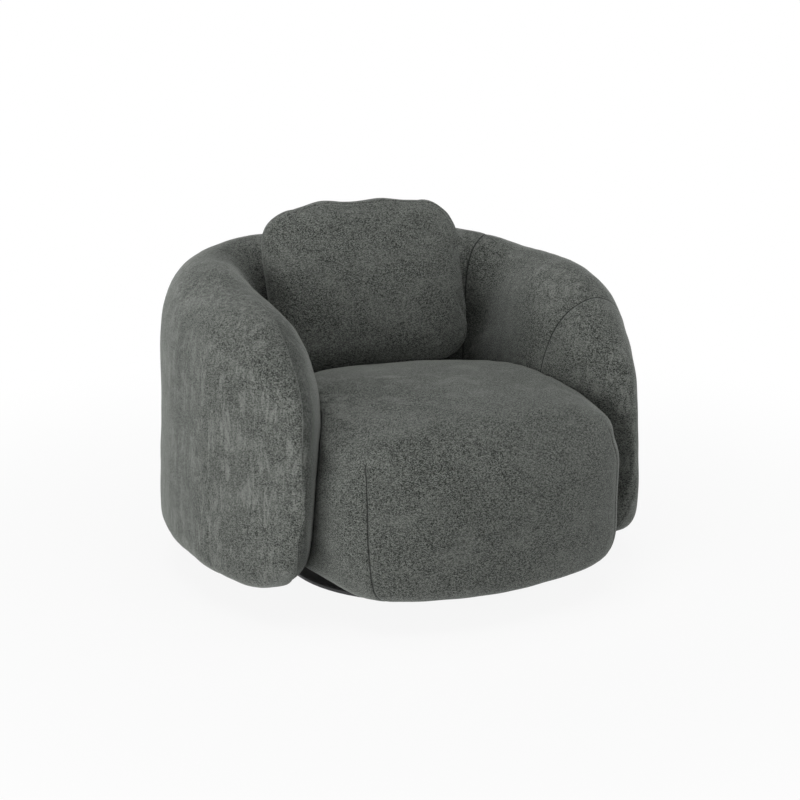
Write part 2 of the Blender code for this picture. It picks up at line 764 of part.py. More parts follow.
def board_outline(grow=0.0):
    """The bottom board: a tongue along each arm, and a tongue under the seat's frame."""
    reach = FRAME_REACH + grow
    notch = FRAME_REACH - TONGUE_LENGTH + grow
    edge = BOARD_EDGE + grow

    def beside(at, out):
        return LINE.point(at, out + frame_shift(at, BOARD_TOP))

    outer = [beside(at, edge) for at in stations(0.0, reach, 22)[1:]]
    inner = [beside(at, -edge) for at in stations(reach, notch, 5)]
    seat_x = FRAME_HALF_WIDTH + grow
    seat_y = FRAME_FRONT - grow
    corner = [(seat_x, seat_y + BOARD_CORNER_CUT), (seat_x - BOARD_CORNER_CUT, seat_y)]
    right = outer + inner + [(seat_x, inner[-1][1] - BOARD_STEP)] + corner
    left = [(-x, y) for x, y in right[::-1]]
    return left + [beside(0.0, edge)] + right


def make_board(holes):
    """The plywood board that carries the whole upholstered body, and the cutter of its space."""
    board = plate("bottom_board", board_outline(), BOARD_UNDERSIDE, BOARD_TOP, "plywood")
    cut(board, *holes)
    space = plate("cut_board", board_outline(SOFT_GAP), BELOW, BOARD_TOP + SOFT_GAP)
    low = BOARD_UNDERSIDE - SEATED_GAP - DUST_COVER_THICKNESS
    cover = plate("dust_cover", board_outline(-DUST_COVER_MARGIN), low, BOARD_UNDERSIDE - SEATED_GAP, "lining")
    half = PLATE_HALF_WIDTH + SWIVEL_BOARD_MARGIN + SEATED_GAP
    cut(cover, box("cut_dust_cover", (-half, -half, 0.0), (half, half, BOARD_TOP)))
    return space


def make_seat_frame():
    """Four rails on the board and the sinuous springs across them."""
    x = FRAME_HALF_WIDTH
    low = RAIL_UNDERSIDE
    high = RAIL_TOP
    front = FRAME_FRONT + RAIL_THICKNESS
    back = FRAME_BACK - RAIL_THICKNESS
    box("front_rail", (-x, FRAME_FRONT, low), (x, front, high), "timber")
    box("rear_rail", (-x, back, low), (x, FRAME_BACK, high), "timber")
    for side, name in ((-1, "left_rail"), (1, "right_rail")):
        edges = sorted((side * x, side * (x - RAIL_THICKNESS)))
        box(name, (edges[0], front + SEATED_GAP, low), (edges[1], back - SEATED_GAP, high), "timber")
    room = 2 * (x - RAIL_THICKNESS)
    for i in range(SPRING_COUNT):
        place_x = -room / 2 + room * (i + 0.5) / SPRING_COUNT
        make_spring(f"seat_spring_{i + 1}", place_x, FRAME_FRONT + RAIL_THICKNESS / 2, FRAME_BACK - RAIL_THICKNESS / 2)
    grown = SOFT_GAP
    return box("cut_frame", (-x - grown, FRAME_FRONT - grown, BELOW), (x + grown, FRAME_BACK + grown, FOAM_UNDERSIDE))


def make_spring(name, x, front, back):
    """A sinuous spring: wire that swings from side to side on its way from rail to rail."""
    length = back - front
    loops = max(1, round(length / SPRING_LOOP_PITCH))
    curve = bpy.data.curves.new(name, "CURVE")
    curve.dimensions = "3D"
    curve.bevel_depth = SPRING_WIRE_RADIUS
    curve.bevel_resolution = 1
    curve.use_fill_caps = True
    spline = curve.splines.new("POLY")
    count = loops * 4 + 1
    spline.points.add(count - 1)
    for i, point in enumerate(spline.points):
        share = i / (count - 1)
        swing = SPRING_LOOP_WIDTH / 2 * math.sin(2 * math.pi * loops * share + math.pi / 4)
        point.co = (x + swing, front + length * share, SPRING_HEIGHT, 1.0)
    curve_to_mesh(name, curve, (0.0, 0.0, 0.0), "zinc")


def rail_section(at, space=False):
    """A top rail's rectangle under the roof of the wall's hollow, or the space that ends a post below it."""
    high = slot_height(at) - SOFT_GAP
    low = high - TOP_RAIL_HEIGHT
    half = SLOT_HALF_WIDTH - SOFT_GAP
    if space:
        half = POST_WIDTH
        low -= SEATED_GAP
        high += TOP_COVER
    ring = []
    for out, height in ((half, low), (half, high), (-half, high), (-half, low)):
        ring.append((*LINE.point(at, out + frame_shift(at, height)), height))
    return ring


def make_wall_frame():
    """The rails that follow the wall's top, in three lengths, and the posts that carry them."""
    reach = FRAME_REACH - SOFT_GAP
    gap = SEATED_GAP / 2
    runs = {
        "left": frame_stations(-reach, -RAIL_JOINT - gap),
        "back": frame_stations(gap - RAIL_JOINT, RAIL_JOINT - gap),
        "right": frame_stations(RAIL_JOINT + gap, reach),
    }
    spaces = {}
    for name, places in runs.items():
        kind = "back_top_rail" if name == "back" else f"{name}_arm_rail"
        loft(kind, [rail_section(at) for at in places], "timber")
        spaces[name] = loft(f"cut_{kind}", [rail_section(at, True) for at in places])
    posts = {
        "arm_post": reach - POST_WIDTH,
        "corner_post": RAIL_JOINT - POST_WIDTH,
        "back_post": BACK_END * BACK_POST_SHARE,
    }
    for kind, at in posts.items():
        for side, name in ((-1, "left"), (1, "right")):
            space = spaces[name] if kind == "arm_post" else spaces["back"]
            cut(make_post(f"{name}_{kind}", side * at), space)


def make_post(name, at):
    """A square post from the board up into the top rail's space, turned and leaning with the wall."""
    half = POST_WIDTH / 2
    rings = []
    for height in (RAIL_UNDERSIDE, slot_height(at) - TOP_RAIL_HEIGHT / 2):
        ring = []
        for along, out in ((-half, -half), (-half, half), (half, half), (half, -half)):
            ring.append((*LINE.point(at + along, out + frame_shift(at, height)), height))
        rings.append(ring)
    return loft(name, rings, "timber")


# Seat and cushion

def pressed_back(point, gap):
    """A point moved out of the wall's inner face, square to the wall's line, if it lies inside it."""
    x, y, z = point
    nearest = int(np.argmin((LINE.x - abs(x)) ** 2 + (LINE.y - y) ** 2))
    at = LINE.at[nearest]
    top = wall_top(at)
    bottom = wall_bottom(at)
    if z >= top or z <= bottom:
        return point
    if z >= WALL_WAIST:
        lift = ((z - WALL_WAIST) / (top - WALL_WAIST)) ** SECTION_POWER_TOP
        width = (1 - lift) ** (1 / SECTION_POWER_ACROSS)
    else:
        lift = ((WALL_WAIST - z) / (WALL_WAIST - bottom)) ** SECTION_POWER_BOTTOM
        width = (1 - lift) ** (1 / SECTION_POWER_BELOW)
    face = wall_shift(at, z) - inner_reach(at, z, wall_half_thickness(at)) * width - gap
    out = (abs(x) - LINE.x[nearest]) * LINE.out_x[nearest] + (y - LINE.y[nearest]) * LINE.out_y[nearest]
    if out <= face:
        return point
    side = -1.0 if x < 0 else 1.0
    return Vector((x + side * (face - out) * LINE.out_x[nearest], y + (face - out) * LINE.out_y[nearest], z))


def soft_block(name, sides, rings, reach, powers, look=None, grow=0.0):
    """A ball drawn out to a stuffed block: reach is half width, front, back, up and down from its waist."""
    half, front, back, up, down = (value + grow for value in reach)
    front_powers, back_powers, top_powers, bottom_powers = powers
    bm = bmesh.new()
    bmesh.ops.create_uvsphere(bm, u_segments=sides, v_segments=rings, radius=1.0)
    for vert in bm.verts:
        spread = math.hypot(vert.co.x, vert.co.y)
        turn = math.atan2(vert.co.y, vert.co.x)
        tilt = math.atan2(vert.co.z, spread)
        across, along = around(turn, *(front_powers if turn < 0 else back_powers))
        width, lift = around(tilt, *(top_powers if tilt >= 0 else bottom_powers))
        depth = front if along < 0 else back
        height = up if tilt >= 0 else down
        vert.co = Vector((half * across * width, depth * along * width, height * lift))
    return add_mesh(name, bm, look)


SEAT_REACH = (SEAT_HALF_WIDTH, SEAT_FRONT_REACH, SEAT_BACK_REACH, SEAT_RISE, SEAT_DROP)
SEAT_POWERS = (
    (SEAT_POWER_ACROSS, SEAT_POWER_ALONG), (SEAT_REAR_POWER_ACROSS, SEAT_REAR_POWER_ALONG),
    (SEAT_POWER_TOP, SEAT_LIFT_TOP), (SEAT_POWER_BOTTOM, SEAT_POWER_BOTTOM),
)


def seat_form(name, look=None, grow=0.0):
    """The whole seat's block, in place: full shoulders and low front corners, a crown that falls to the front."""
    thing = soft_block(name, SEAT_SIDES, SEAT_RINGS, SEAT_REACH, SEAT_POWERS, look, grow)
    front = -SEAT_FRONT_REACH
    centre = Vector((0.0, SEAT_CENTRE_Y, SEAT_WAIST))
    for vert in thing.data.vertices:
        lift = max(vert.co.z, 0.0) / SEAT_RISE
        across = vert.co.x / SEAT_HALF_WIDTH
        if vert.co.z > 0:
            vert.co.x += SEAT_SHOULDER * across * abs(across) * swell(lift, SHOULDER_HEIGHT, SHOULDER_REACH)
        elif vert.co.y < 0:
            corner = abs(across * vert.co.y / SEAT_FRONT_REACH)
            depth = swell(-vert.co.z / SEAT_DROP, LOW_CORNER_DEPTH, LOW_CORNER_REACH)
            vert.co.x *= 1 + SEAT_LOW_CORNER * corner * depth
            vert.co.y *= 1 + SEAT_LOW_CORNER * corner * depth
        vert.co.z += SEAT_CROWN_TILT * lift * (vert.co.y - front)
        vert.co.x *= 1 + SEAT_NARROWING * vert.co.y / SEAT_FRONT_REACH
        vert.co = pressed_back(vert.co + centre, SEAT_SIDE_GAP) - centre
    thing.location = centre
    return smooth(thing)


def make_seat(frame_space, board_space):
    """The foam block on the springs, and the pads round the frame below it."""
    top = box("keep_seat_top", (-FAR, -FAR, FOAM_UNDERSIDE + SOFT_GAP), (FAR, FAR, FAR))
    cut(seat_form("seat_cushion", "fabric"), top, operation="INTERSECT")
    front = FRAME_FRONT - SOFT_GAP / 2
    side = FRAME_HALF_WIDTH
    regions = {
        "seat_front_pad": ((-FAR, -FAR, -FAR), (FAR, front - SEATED_GAP, FOAM_UNDERSIDE)),
        "seat_left_pad": ((-FAR, front, -FAR), (-side, FRAME_BACK, FOAM_UNDERSIDE)),
        "seat_right_pad": ((side, front, -FAR), (FAR, FRAME_BACK, FOAM_UNDERSIDE)),
    }
    for name, (low, high) in regions.items():
        pad = seat_form(name, "fabric")
        cut(pad, box(f"keep_{name}", low, high), operation="INTERSECT")
        cut(pad, frame_space, board_space)


def make_back_cushion(wall_space):
    """The loose cushion, pressed flat where it meets the wall and the seat."""
    reach = (CUSHION_HALF_WIDTH, CUSHION_HALF_HEIGHT, CUSHION_HALF_HEIGHT, CUSHION_HALF_DEPTH, CUSHION_HALF_DEPTH)
    outline = (CUSHION_POWER_OUTLINE, CUSHION_POWER_OUTLINE)
    edge = (CUSHION_POWER_EDGE, CUSHION_POWER_EDGE)
    powers = (outline, outline, edge, edge)
    thing = soft_block("back_cushion", CUSHION_SIDES, CUSHION_RINGS, reach, powers, "fabric")
    for vert in thing.data.vertices:
        across = vert.co.x / CUSHION_HALF_WIDTH
        along = vert.co.y / CUSHION_HALF_HEIGHT
        vert.co.x -= CUSHION_DRAWN_IN * across * (1 - along * along)
        vert.co.y -= CUSHION_DRAWN_IN * along * (1 - across * across)
    turn = Matrix.Rotation(CUSHION_TURN, 4, "Z")
    stand = Matrix.Rotation(math.pi / 2 - CUSHION_TILT, 4, "X")
    roll = Matrix.Rotation(-CUSHION_ROLL, 4, "Z")
    back = ARM_START_Y + BACK_REACH - BACK_THICKNESS / 2 - CUSHION_FROM_BACK
    height = SEAT_WAIST + SEAT_RISE + CUSHION_HALF_HEIGHT + CUSHION_LIFT
    centre = Matrix.Translation((CUSHION_ASIDE, back, height))
    thing.matrix_world = centre @ turn @ stand @ roll
    cut(smooth(thing), wall_space, seat_form("cut_seat", grow=SOFT_GAP))


def main():
    """Makes the chair from the floor up."""
    make_base()
    make_bearing()
    make_pivot()
    holes = make_swivel_plate()
    board_space = make_board(holes)
    frame_space = make_seat_frame()
    make_wall_frame()
    wall_space = make_wall(board_space)
    make_seat(frame_space, board_space)
    make_back_cushion(wall_space)


main()
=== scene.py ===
"""Swivel tub chair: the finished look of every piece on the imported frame.

The upholstered wall is one surface along a horseshoe line. The seat and the loose cushion are
stuffed blocks that are blown up as cloth. The base, swivel and timber frame keep their own solids
with materials of their own. All lengths are metres in the chair's frame: +Z up, and the chair
faces -Y. Shares of the half line run from 0 at the back's middle to 1 at an arm's nose, and are
negative on the left where a table holds both sides.
"""
import math

import bmesh
import bpy
import numpy as np
from mathutils import Matrix, Vector
from mathutils.kdtree import KDTree


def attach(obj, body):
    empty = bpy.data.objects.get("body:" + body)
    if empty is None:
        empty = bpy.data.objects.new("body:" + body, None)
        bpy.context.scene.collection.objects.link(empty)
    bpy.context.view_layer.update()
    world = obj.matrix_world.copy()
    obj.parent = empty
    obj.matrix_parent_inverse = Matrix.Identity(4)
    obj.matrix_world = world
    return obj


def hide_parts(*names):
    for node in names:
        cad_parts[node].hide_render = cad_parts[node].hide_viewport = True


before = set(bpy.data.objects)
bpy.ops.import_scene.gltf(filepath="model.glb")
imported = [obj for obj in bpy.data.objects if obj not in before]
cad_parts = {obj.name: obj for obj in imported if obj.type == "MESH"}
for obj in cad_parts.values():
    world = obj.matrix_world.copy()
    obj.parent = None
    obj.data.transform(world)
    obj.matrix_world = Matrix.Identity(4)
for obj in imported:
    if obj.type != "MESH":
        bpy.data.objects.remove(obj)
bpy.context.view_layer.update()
scene = bpy.context.scene

# The wall's line and section, as the frame has them
WALL_HALF_WIDTH = 0.488
ARM_START_Y = -0.022
BACK_REACH = 0.380
ARM_REACH = 0.300
PLAN_POWERS = (3.0, 3.9)
BACK_THICKNESS = 0.205
BACK_CORNER_THICKNESS = 0.293
ARM_CORNER_THICKNESS = 0.325
ARM_THICKNESS = 0.166
EVEN_BACK = 0.20
NOSE = (0.276, 1.57, 1.5)
WALL_TOP = 0.705
WALL_WAIST = 0.260
WALL_BOTTOM = 0.061
TOP_FALL = (0.739, 2.54, 2.7)
BOTTOM_RISE = (0.178, 2.67, 1.72)
SWELLS = ((0.24, 0.26, 0.055), (0.50, 0.26, -0.057))
TOP_POWERS = (1.7, 6.2)
BOTTOM_POWERS = (1.9, 7.5)
OUTER_TOP_POWERS = (1.8, 6.2)
OUTER_BOTTOM_POWERS = (2.3, 7.5)
BACK_LEAN = -0.020
ARM_LEAN = -0.036
WALL_BOW = 0.045

# Its hollow above the seat: place and reach along the half line, share of the thickness, heights
HOLLOW = (0.40, 0.34, 0.34)
HOLLOW_HEIGHTS = (0.30, 0.50)

# Its full places: place and reach along the half line, size, height and spread
INNER_FULLNESS = (0.92, 0.30, 0.012, 0.42, 0.10)
OUTER_BELLY = (0.75, 0.55, 0.009, 0.30, 0.13)

# Small lifts of its top and bottom, and inward shifts of them: share of the half line, reach, size
TOP_LIFTS = ((-0.50, 0.20, 0.017), (-0.46, 0.17, 0.010), (-0.25, 0.12, -0.004),
             (0.60, 0.22, 0.0065), (0.29, 0.14, -0.010), (0.90, 0.14, -0.004),
             (0.55, 0.15, 0.0030), (0.84, 0.11, -0.0032))
TOP_SHIFTS = ((-0.51, 0.22, 0.014),)
BOTTOM_SHIFTS = ((0.93, 0.16, 0.008),)
BOTTOM_LIFTS = ((-0.90, 0.12, 0.005), (-0.985, 0.05, -0.012), (0.93, 0.12, -0.016))

# Seams of the wall: share of the half line at the waist, how far the top end leans forward, and the
# power of the height by which it does. The edge seam is a place across the section, -1 inside.
BACK_SEAM = (0.337, 0.034, 10.0)
ARM_SEAM = (0.772, 0.038, 1.8)
SEAM_LEAN_REACH = 0.15
EDGE_SEAM = -0.264
EDGE_SWING = (1.62, 0.0125)  # radians that it turns forward at the nose, and the share over which

# Its grid: widest gap along it and round it (radians), then a narrow gap and its reach at the seams
# across it, at the noses and at the edge seam
WALL_END = 0.9999
WALL_GAPS = (0.0082, 0.052)
RADIAL_GAP = (0.0016, 0.014)
NOSE_GAP = (0.0012, 0.035)
EDGE_GAP = (0.006, 0.05)

# Its outer panels: shares over which their edge seam comes in on either side, and how much of it
# shows on the right
PANEL_LEFT = (0.60, 0.72)
PANEL_RIGHT = (0.84, 0.92)
PANEL_RIGHT_SHOW = 0.35
PANEL_HIDDEN = 0.01  # what is added to the distance where the edge seam doesn't show

# Relief of its seams: depth and spread of a valley, height and reach of a raised panel
RADIAL_VALLEY = (0.0011, 0.006)
LEFT_VALLEY_FADE = (0.004, 0.0022)  # added to the distance of the left back and arm seam
EDGE_VALLEY = (0.0010, 0.003)
PANEL_HEIGHT = 0.0024
PANEL_EDGE = (-0.0015, 0.0045)
PANEL_FADE = (-0.7, 0.1)  # across the section, where there is no edge seam
LIP_HEIGHT = 0.0020
LIP_REACH = (-0.030, -0.003)
NOSE_FADE = 0.02  # the last stretch before a nose, over which the relief goes

# Where its pile is brushed: across the left's section, along it, up it, and the right nose's share
BRUSHED_ACROSS = (-0.2, 0.5)
BRUSHED_ALONG = (0.0, 0.3)
BRUSHED_TOP = (0.75, 0.98)
BRUSHED_RIGHT = 0.7

# Painted shade in the colour: a strip inside the left edge seam, and the foot of the inner side
STRIP_START = (0.0, 0.0025)
STRIP_END = (0.05, 0.09)
FOOT_PLACE = (0.20, 0.20)  # share of the half line where it is highest, and reach
FOOT_ACROSS = (0.35, 0.90)
FOOT_HEIGHTS = (0.40, 0.66)
FOOT_LIFTS = (0.18, 0.03)
FOOT_PAINTED_SHADE = 1.7
FOOT_END = (0.58, 0.80)

# Slow unevenness of the covers: size, wavelength, phase
WALL_UNEVENNESS = ((0.0015, 0.21, 0.7), (0.0007, 0.07, 2.3))
SEAT_UNEVENNESS = ((0.0014, 0.26, 1.1), (0.0006, 0.08, 0.4))
CUSHION_UNEVENNESS = ((0.0010, 0.12, 0.3),)

# Seat block. Its reach is half its width, then forward, back, up and down. Its powers are those of
# the front plan, the rear plan, the upper profile and the lower one.
SEAT_CENTRE = (0.0, -0.306, 0.263)
SEAT_REACH = (0.351, 0.182, 0.552, 0.155, 0.2061)
SEAT_POWERS = ((1.65, 3.19), (2.2, 2.6), (2.66, 2.7), (8.7, 6.7))
SEAT_SHOULDER = (0.046, 0.813, 0.42)  # size, height share, reach
SEAT_TAPER = 0.549
SEAT_RIGHT_FULLNESS = 1.0128
SEAT_LOW_RIGHT = (0.024, 0.80, 0.60, 0.3)  # size, depth share, reach, share of it sideways
SEAT_CROWN_TILT = 0.123
SEAT_REAR_FROM = (0.30, 0.12)  # height where the rear corners start to rise, and over what
SEAT_LEFT_REAR = (-0.28, 0.30, 0.0236)  # x, reach, size
SEAT_LEFT_REAR_RUN = (-0.35, 0.0)
SEAT_RIGHT_REAR = (0.338, 0.20, 0.0143)
SEAT_RIGHT_REAR_RUN = (-0.45, -0.15)
SEAT_GAPS = (0.030, 0.024)
SEAT_POLE = 0.01
SEAT_BRUSHED_RUN = (-0.42, -0.05)
SEAT_BRUSHED_HEIGHTS = (0.34, 0.40)
SEAT_FILLING = (0.010, 3.0, 0.004)  # cloth: gap of the copy's mesh, pressure, cap of the travel
SEAT_WALL_GAP = 0.002
DARTS = (math.radians(-149.5), math.radians(-31.0))
DART_TOP = math.radians(36.3)
DART_START = 0.1
DART_SWING = (0.061, 0.5)  # how far the left dart's top turns, and its reach round the seat
DART_LOW_SWING = (0.026, 0.2, 0.7)  # and its foot the other way, from and to a tilt
DART_GAP = (0.0035, 0.06)
DART_GROOVE = (0.0016, 0.005)  # depth, spread

# Loose cushion. Its reach is half its width, then down, up, forward and back once it stands.
CUSHION_CENTRE = (-0.025, 0.181, 0.6185)
CUSHION_REACH = (0.255, 0.202, 0.202, 0.076, 0.076)
CUSHION_POWERS = ((4.4, 4.4), (4.4, 4.4), (2.3, 2.3), (2.3, 2.3))
CUSHION_DRAWN_IN = 0.006
CUSHION_TOP_LIFTS = ((-0.225, 0.060, -0.005), (-0.104, 0.070, 0.0055), (0.055, 0.060, 0.003),
                     (0.225, 0.060, -0.005), (0.0, 0.145, 0.0065), (-0.075, 0.070, 0.006),
                     (0.075, 0.060, 0.003), (0.19, 0.050, 0.003))
CUSHION_TILT = math.radians(15.3)
CUSHION_ROLL = math.radians(-0.7)
CUSHION_TURN = math.radians(-0.7)
CUSHION_SEAMS = (-0.030, 0.030)
CUSHION_COLUMNS = 240
CUSHION_GAP = 0.032
CUSHION_POLE = 0.02
BORDER_SPOTS = ((-0.38, 0.008, 0.12), (0.38, 0.008, 0.12))  # tilt, narrow gap, reach
BORDER_STRETCH = 1.2  # from the depth between a point and the seam to the way along the cover
BORDER_LEAST = 0.0009  # the least distance noted, so that the seam's line stays faint
BORDER_GROOVE = (0.0009, 0.0035)  # depth, spread
BORDER_WELT = (0.0014, 0.006, 0.006)  # height, distance from the seam, spread
GATHERS = (0.0004, 0.008, 0.012)  # the same three for the small gathers beside it
GATHER_WAVES = (140.0, 165.0)  # radians in a metre, across and up
CUSHION_BRUSHED = 0.25
CUSHION_FILLING = (0.006, 4.0, 0.010)  # as the seat's
CUSHION_WALL_GAP = 0.001

# Colours of the fabric, as linear light
FABRIC_DARK = (0.021, 0.0235, 0.0205)
FABRIC_LIGHT = (0.248, 0.262, 0.240)
# the gap colour is also the colour of the painted shade
FABRIC_GAP_AND_SHADE = (0.026, 0.029, 0.026)
# the brushed colour is also that of the painted sheen rim and the edge seam's painted highlight
FABRIC_BRUSHED_AND_HIGHLIGHT = (0.265, 0.277, 0.257)
SEAM_SHADE = (0.020, 0.022, 0.020)
SHEEN_TINT = (0.80, 0.84, 0.80)

# Fabric pattern: repeats in a metre, the share of colour that each part takes, and its relief
TUFTS, CLUMPS, PATCHES, STREAKS = 520.0, 210.0, 11.0, 75.0
PILE_STRETCH = (1.0, 1.0, 1.5)
GAP_SHARE, CLUMP_SHARE, PAINTED_SHADE_SHARE = 0.4, 0.26, 0.34
RUFFLED_SHARE, RUFFLED_BY_SHADE, PATCH_SHARE = 0.32, 0.44, 0.16
# painted sheen rim: its share of the pale colour, and how much painted shade takes off it
PAINTED_RIM_SHARE, PAINTED_RIM_LESS_BY_SHADE = 0.45, 0.3
CLUMP_RELIEF, GAP_RELIEF, TUFT_RELIEF, RUFFLED_RELIEF = 0.12, 0.5, 0.3, 0.4
SEAM_LINE = (0.0008, 0.0025)  # distances over which a seam's shade fades
SEAM_GROOVE = 0.0030

# Cloth that fills the covers
CLOTH_FRAMES = 20
CLOTH_SETTINGS = dict(use_pressure=True, quality=6, mass=0.3, tension_stiffness=12.0,
                      compression_stiffness=12.0, bending_stiffness=0.6)
NEAREST_POINTS = 4

# Studio: lamps' places, sizes and powers, the point they aim at, and the faint sky
LAMP_AIM = (0.0, 0.0, 0.35)
LAMPS = (("sky_lamp", (0.0, -0.3, 4.0), 3.0, 58.0),
         ("high_left_lamp", (-1.5, -0.6, 4.0), 1.5, 20.0),
         ("left_lamp", (-4.0, -0.8, 0.75), 1.6, 53.0),
         ("front_left_lamp", (-3.3, -2.6, 0.8), 1.6, 42.0),
         ("front_right_lamp", (2.2, -4.2, 1.5), 3.0, 27.0),
         ("right_lamp", (4.0, -1.6, 0.8), 2.0, 44.0),
         ("rear_lamp", (2.2, 3.6, 1.2), 2.4, 44.0))
SKY_STRENGTH = 0.082
FLOOR_HALF_WIDTH = 30.0
FLOOR_SHADE = (0.86, 0.86, 0.86)
FLOOR_GLOW = (0.7, 2.2, 0.90, 1.0)  # two distances, and the share of plain white at each
WHITE = (1.0, 1.0, 1.0)

# Camera of the photograph
VIEW_TURN, VIEW_LIFT = math.radians(-27.24), math.radians(15.895)
VIEW_TARGET = Vector((0.0, -0.0397, 0.322))
VIEW_DISTANCE = 3.387
VIEW_LENS, VIEW_SENSOR = 66.30, 36.0
VIEW_SHIFT = (-0.02362, 0.03507)

TINY = 1e-9  # keeps a division from going by nothing


# Shader maths

class Flow:
    """A socket's value in a node tree; the operators add Math nodes."""

    def __init__(self, graph, socket):
        self.graph = graph
        self.socket = socket

    def _math(self, operation, *values):
        return self.graph.node("Math", dict(operation=operation), *values)

    def __add__(self, other):
        return self._math("ADD", self, other)

    __radd__ = __add__

    def __sub__(self, other):
        return self._math("SUBTRACT", self, other)

    def __rsub__(self, other):
        return self._math("SUBTRACT", other, self)

    def __mul__(self, other):
        return self._math("MULTIPLY", self, other)

    __rmul__ = __mul__

    def __abs__(self):
        return self._math("ABSOLUTE", self)

    def most(self, other):
        return self._math("MAXIMUM", self, other)

    def ramp(self, low, high, start=0.0, end=1.0):
        """start below low, end above high, and a smooth step between."""
        settings = dict(interpolation_type="SMOOTHSTEP")
        return self.graph.node("MapRange", settings, self, low, high, start, end)


class Graph:
    """A new material's node tree, with its Principled shader."""

    def __init__(self, name, **sockets):
        self.material = bpy.data.materials.new(name)
        self.material.use_nodes = True
        self.tree = self.material.node_tree
        self.shader = self.tree.nodes["Principled BSDF"]
        for key, value in sockets.items():
            self.set(self.shader, key.replace("_", " "), value)

    def set(self, node, key, value):
        """Links or sets one input of a node, by name or number."""
        socket = node.inputs[key]
        if isinstance(value, Flow):
            self.tree.links.new(value.socket, socket)
        elif isinstance(value, tuple) and len(value) == 3 and socket.type == "RGBA":
            socket.default_value = (*value, 1.0)
        else:
            socket.default_value = value

    def node(self, kind, settings=None, *values, out=0, **named):
        """Adds a node by its type without ShaderNode: settings, then sockets' values or links."""
        node = self.tree.nodes.new("ShaderNode" + kind)
        for key, value in (settings or {}).items():
            setattr(node, key, value)
        for i, value in enumerate(values):
            if value is not None:
                self.set(node, i, value)
        for key, value in named.items():
            self.set(node, key.replace("_", " "), value)
        return Flow(self, node.outputs[out])

    def place(self, scale=(1.0, 1.0, 1.0)):
        """Object coordinates, stretched."""
        coordinates = self.node("TexCoord", out="Object")
        return self.node("Mapping", dict(vector_type="POINT"), coordinates, Scale=scale)

    def noise(self, at, scale, detail=2.0, roughness=0.5, distortion=0.0):
        """Noise from 0 to 1 at a place."""
        return self.node("TexNoise", None, Vector=at, Scale=scale, Detail=detail,
                         Roughness=roughness, Distortion=distortion)

    def mix(self, share, low, high):
        """A colour between two."""
        node = self.tree.nodes.new("ShaderNodeMix")
        node.data_type = "RGBA"
        for name, value in (("Factor_Float", share), ("A_Color", low), ("B_Color", high)):
            socket = next(s for s in node.inputs if s.identifier == name)
            if isinstance(value, Flow):
                self.tree.links.new(value.socket, socket)
            elif isinstance(value, tuple):
                socket.default_value = (*value, 1.0)
            else:
                socket.default_value = value
        return Flow(self, next(s for s in node.outputs if s.identifier == "Result_Color"))

    def bump(self, height, strength, distance):
        """A normal from a height."""
        return self.node("Bump", None, Strength=strength, Distance=distance, Height=height)

    def finish(self, **linked):
        """Links the shader's last sockets and gives the material."""
        for key, value in linked.items():
            self.set(self.shader, key.replace("_", " "), value)
        return self.material


def pile_fabric(name, seams=(), streak=(1.0, 1.0, 1.0)):
    """Short mottled pile: shaded tufts with dark gaps, brushed streaks, painted sheen and sewn
    seams.

    Each seam is an attribute that holds the distance to it, its tint, how much of that shows and
    how far it stands up. "brushed" is where the pile is ruffled; painted shade darkens its colour.
    """
    g = Graph(name, Roughness=0.92, Specular_IOR_Level=0.2, Sheen_Weight=0.45,
              Sheen_Roughness=0.36, Sheen_Tint=SHEEN_TINT)
    here = g.place(PILE_STRETCH)
    tufts = g.node("TexVoronoi", dict(feature="F1"), Vector=here, Scale=TUFTS, out="Distance")
    own_color = Flow(g, tufts.socket.node.outputs["Color"])
    shade = g.node("SeparateColor", None, own_color, out="Red").ramp(0.06, 0.94)
    gap = tufts.ramp(0.38, 0.80)
    clumps = g.noise(here, CLUMPS, 2.0, 0.6, 0.3)
    patches = g.noise(here, PATCHES, 3.0, 0.6, 0.5)
    streaks = g.noise(g.place(streak), STREAKS, 3.0, 0.6, 0.8)
    brushed = g.node("Attribute", dict(attribute_name="brushed"), out="Fac")
    nap = g.node("Attribute", dict(attribute_name="nap"), out="Fac")
    ruffled = streaks.ramp(0.46, 0.64) * patches.ramp(0.38, 0.55) * brushed
    # painted sheen highlight: paler where the surface is seen at a grazing angle
    grazing_highlight = g.node("LayerWeight", None, Blend=0.5, out="Facing").ramp(0.60, 0.94)

    color = g.mix(shade, FABRIC_DARK, FABRIC_LIGHT)
    # gaps between tufts and clumps darken the colour, and painted shade darkens it further
    gaps_and_painted_shade = gap * GAP_SHARE + clumps.ramp(0.56, 0.36) * CLUMP_SHARE + nap * PAINTED_SHADE_SHARE
    color = g.mix(gaps_and_painted_shade, color, FABRIC_GAP_AND_SHADE)
    raised = ruffled * (RUFFLED_SHARE + shade * RUFFLED_BY_SHADE)
    color = g.mix(raised + patches.ramp(0.44, 0.68) * PATCH_SHARE, color, FABRIC_BRUSHED_AND_HIGHLIGHT)
    # the painted highlight at grazing angles, weaker where shade is painted
    color = g.mix(grazing_highlight * (PAINTED_RIM_SHARE - nap * PAINTED_RIM_LESS_BY_SHADE), color, FABRIC_BRUSHED_AND_HIGHLIGHT)

    height = clumps * CLUMP_RELIEF - gap * GAP_RELIEF + shade * TUFT_RELIEF
    height = height + ruffled * RUFFLED_RELIEF
    for seam, tint, shown, stands in seams:
        distance = abs(g.node("Attribute", dict(attribute_name=seam), out="Fac"))
        color = g.mix(distance.ramp(*SEAM_LINE, shown, 0.0), color, tint)
        height = height + distance.ramp(0.0, SEAM_GROOVE, stands, 0.0)
    relief = g.bump(height, 0.6, 0.0018)
    return g.finish(Base_Color=color, Roughness=0.84 + shade * 0.14, Normal=relief)


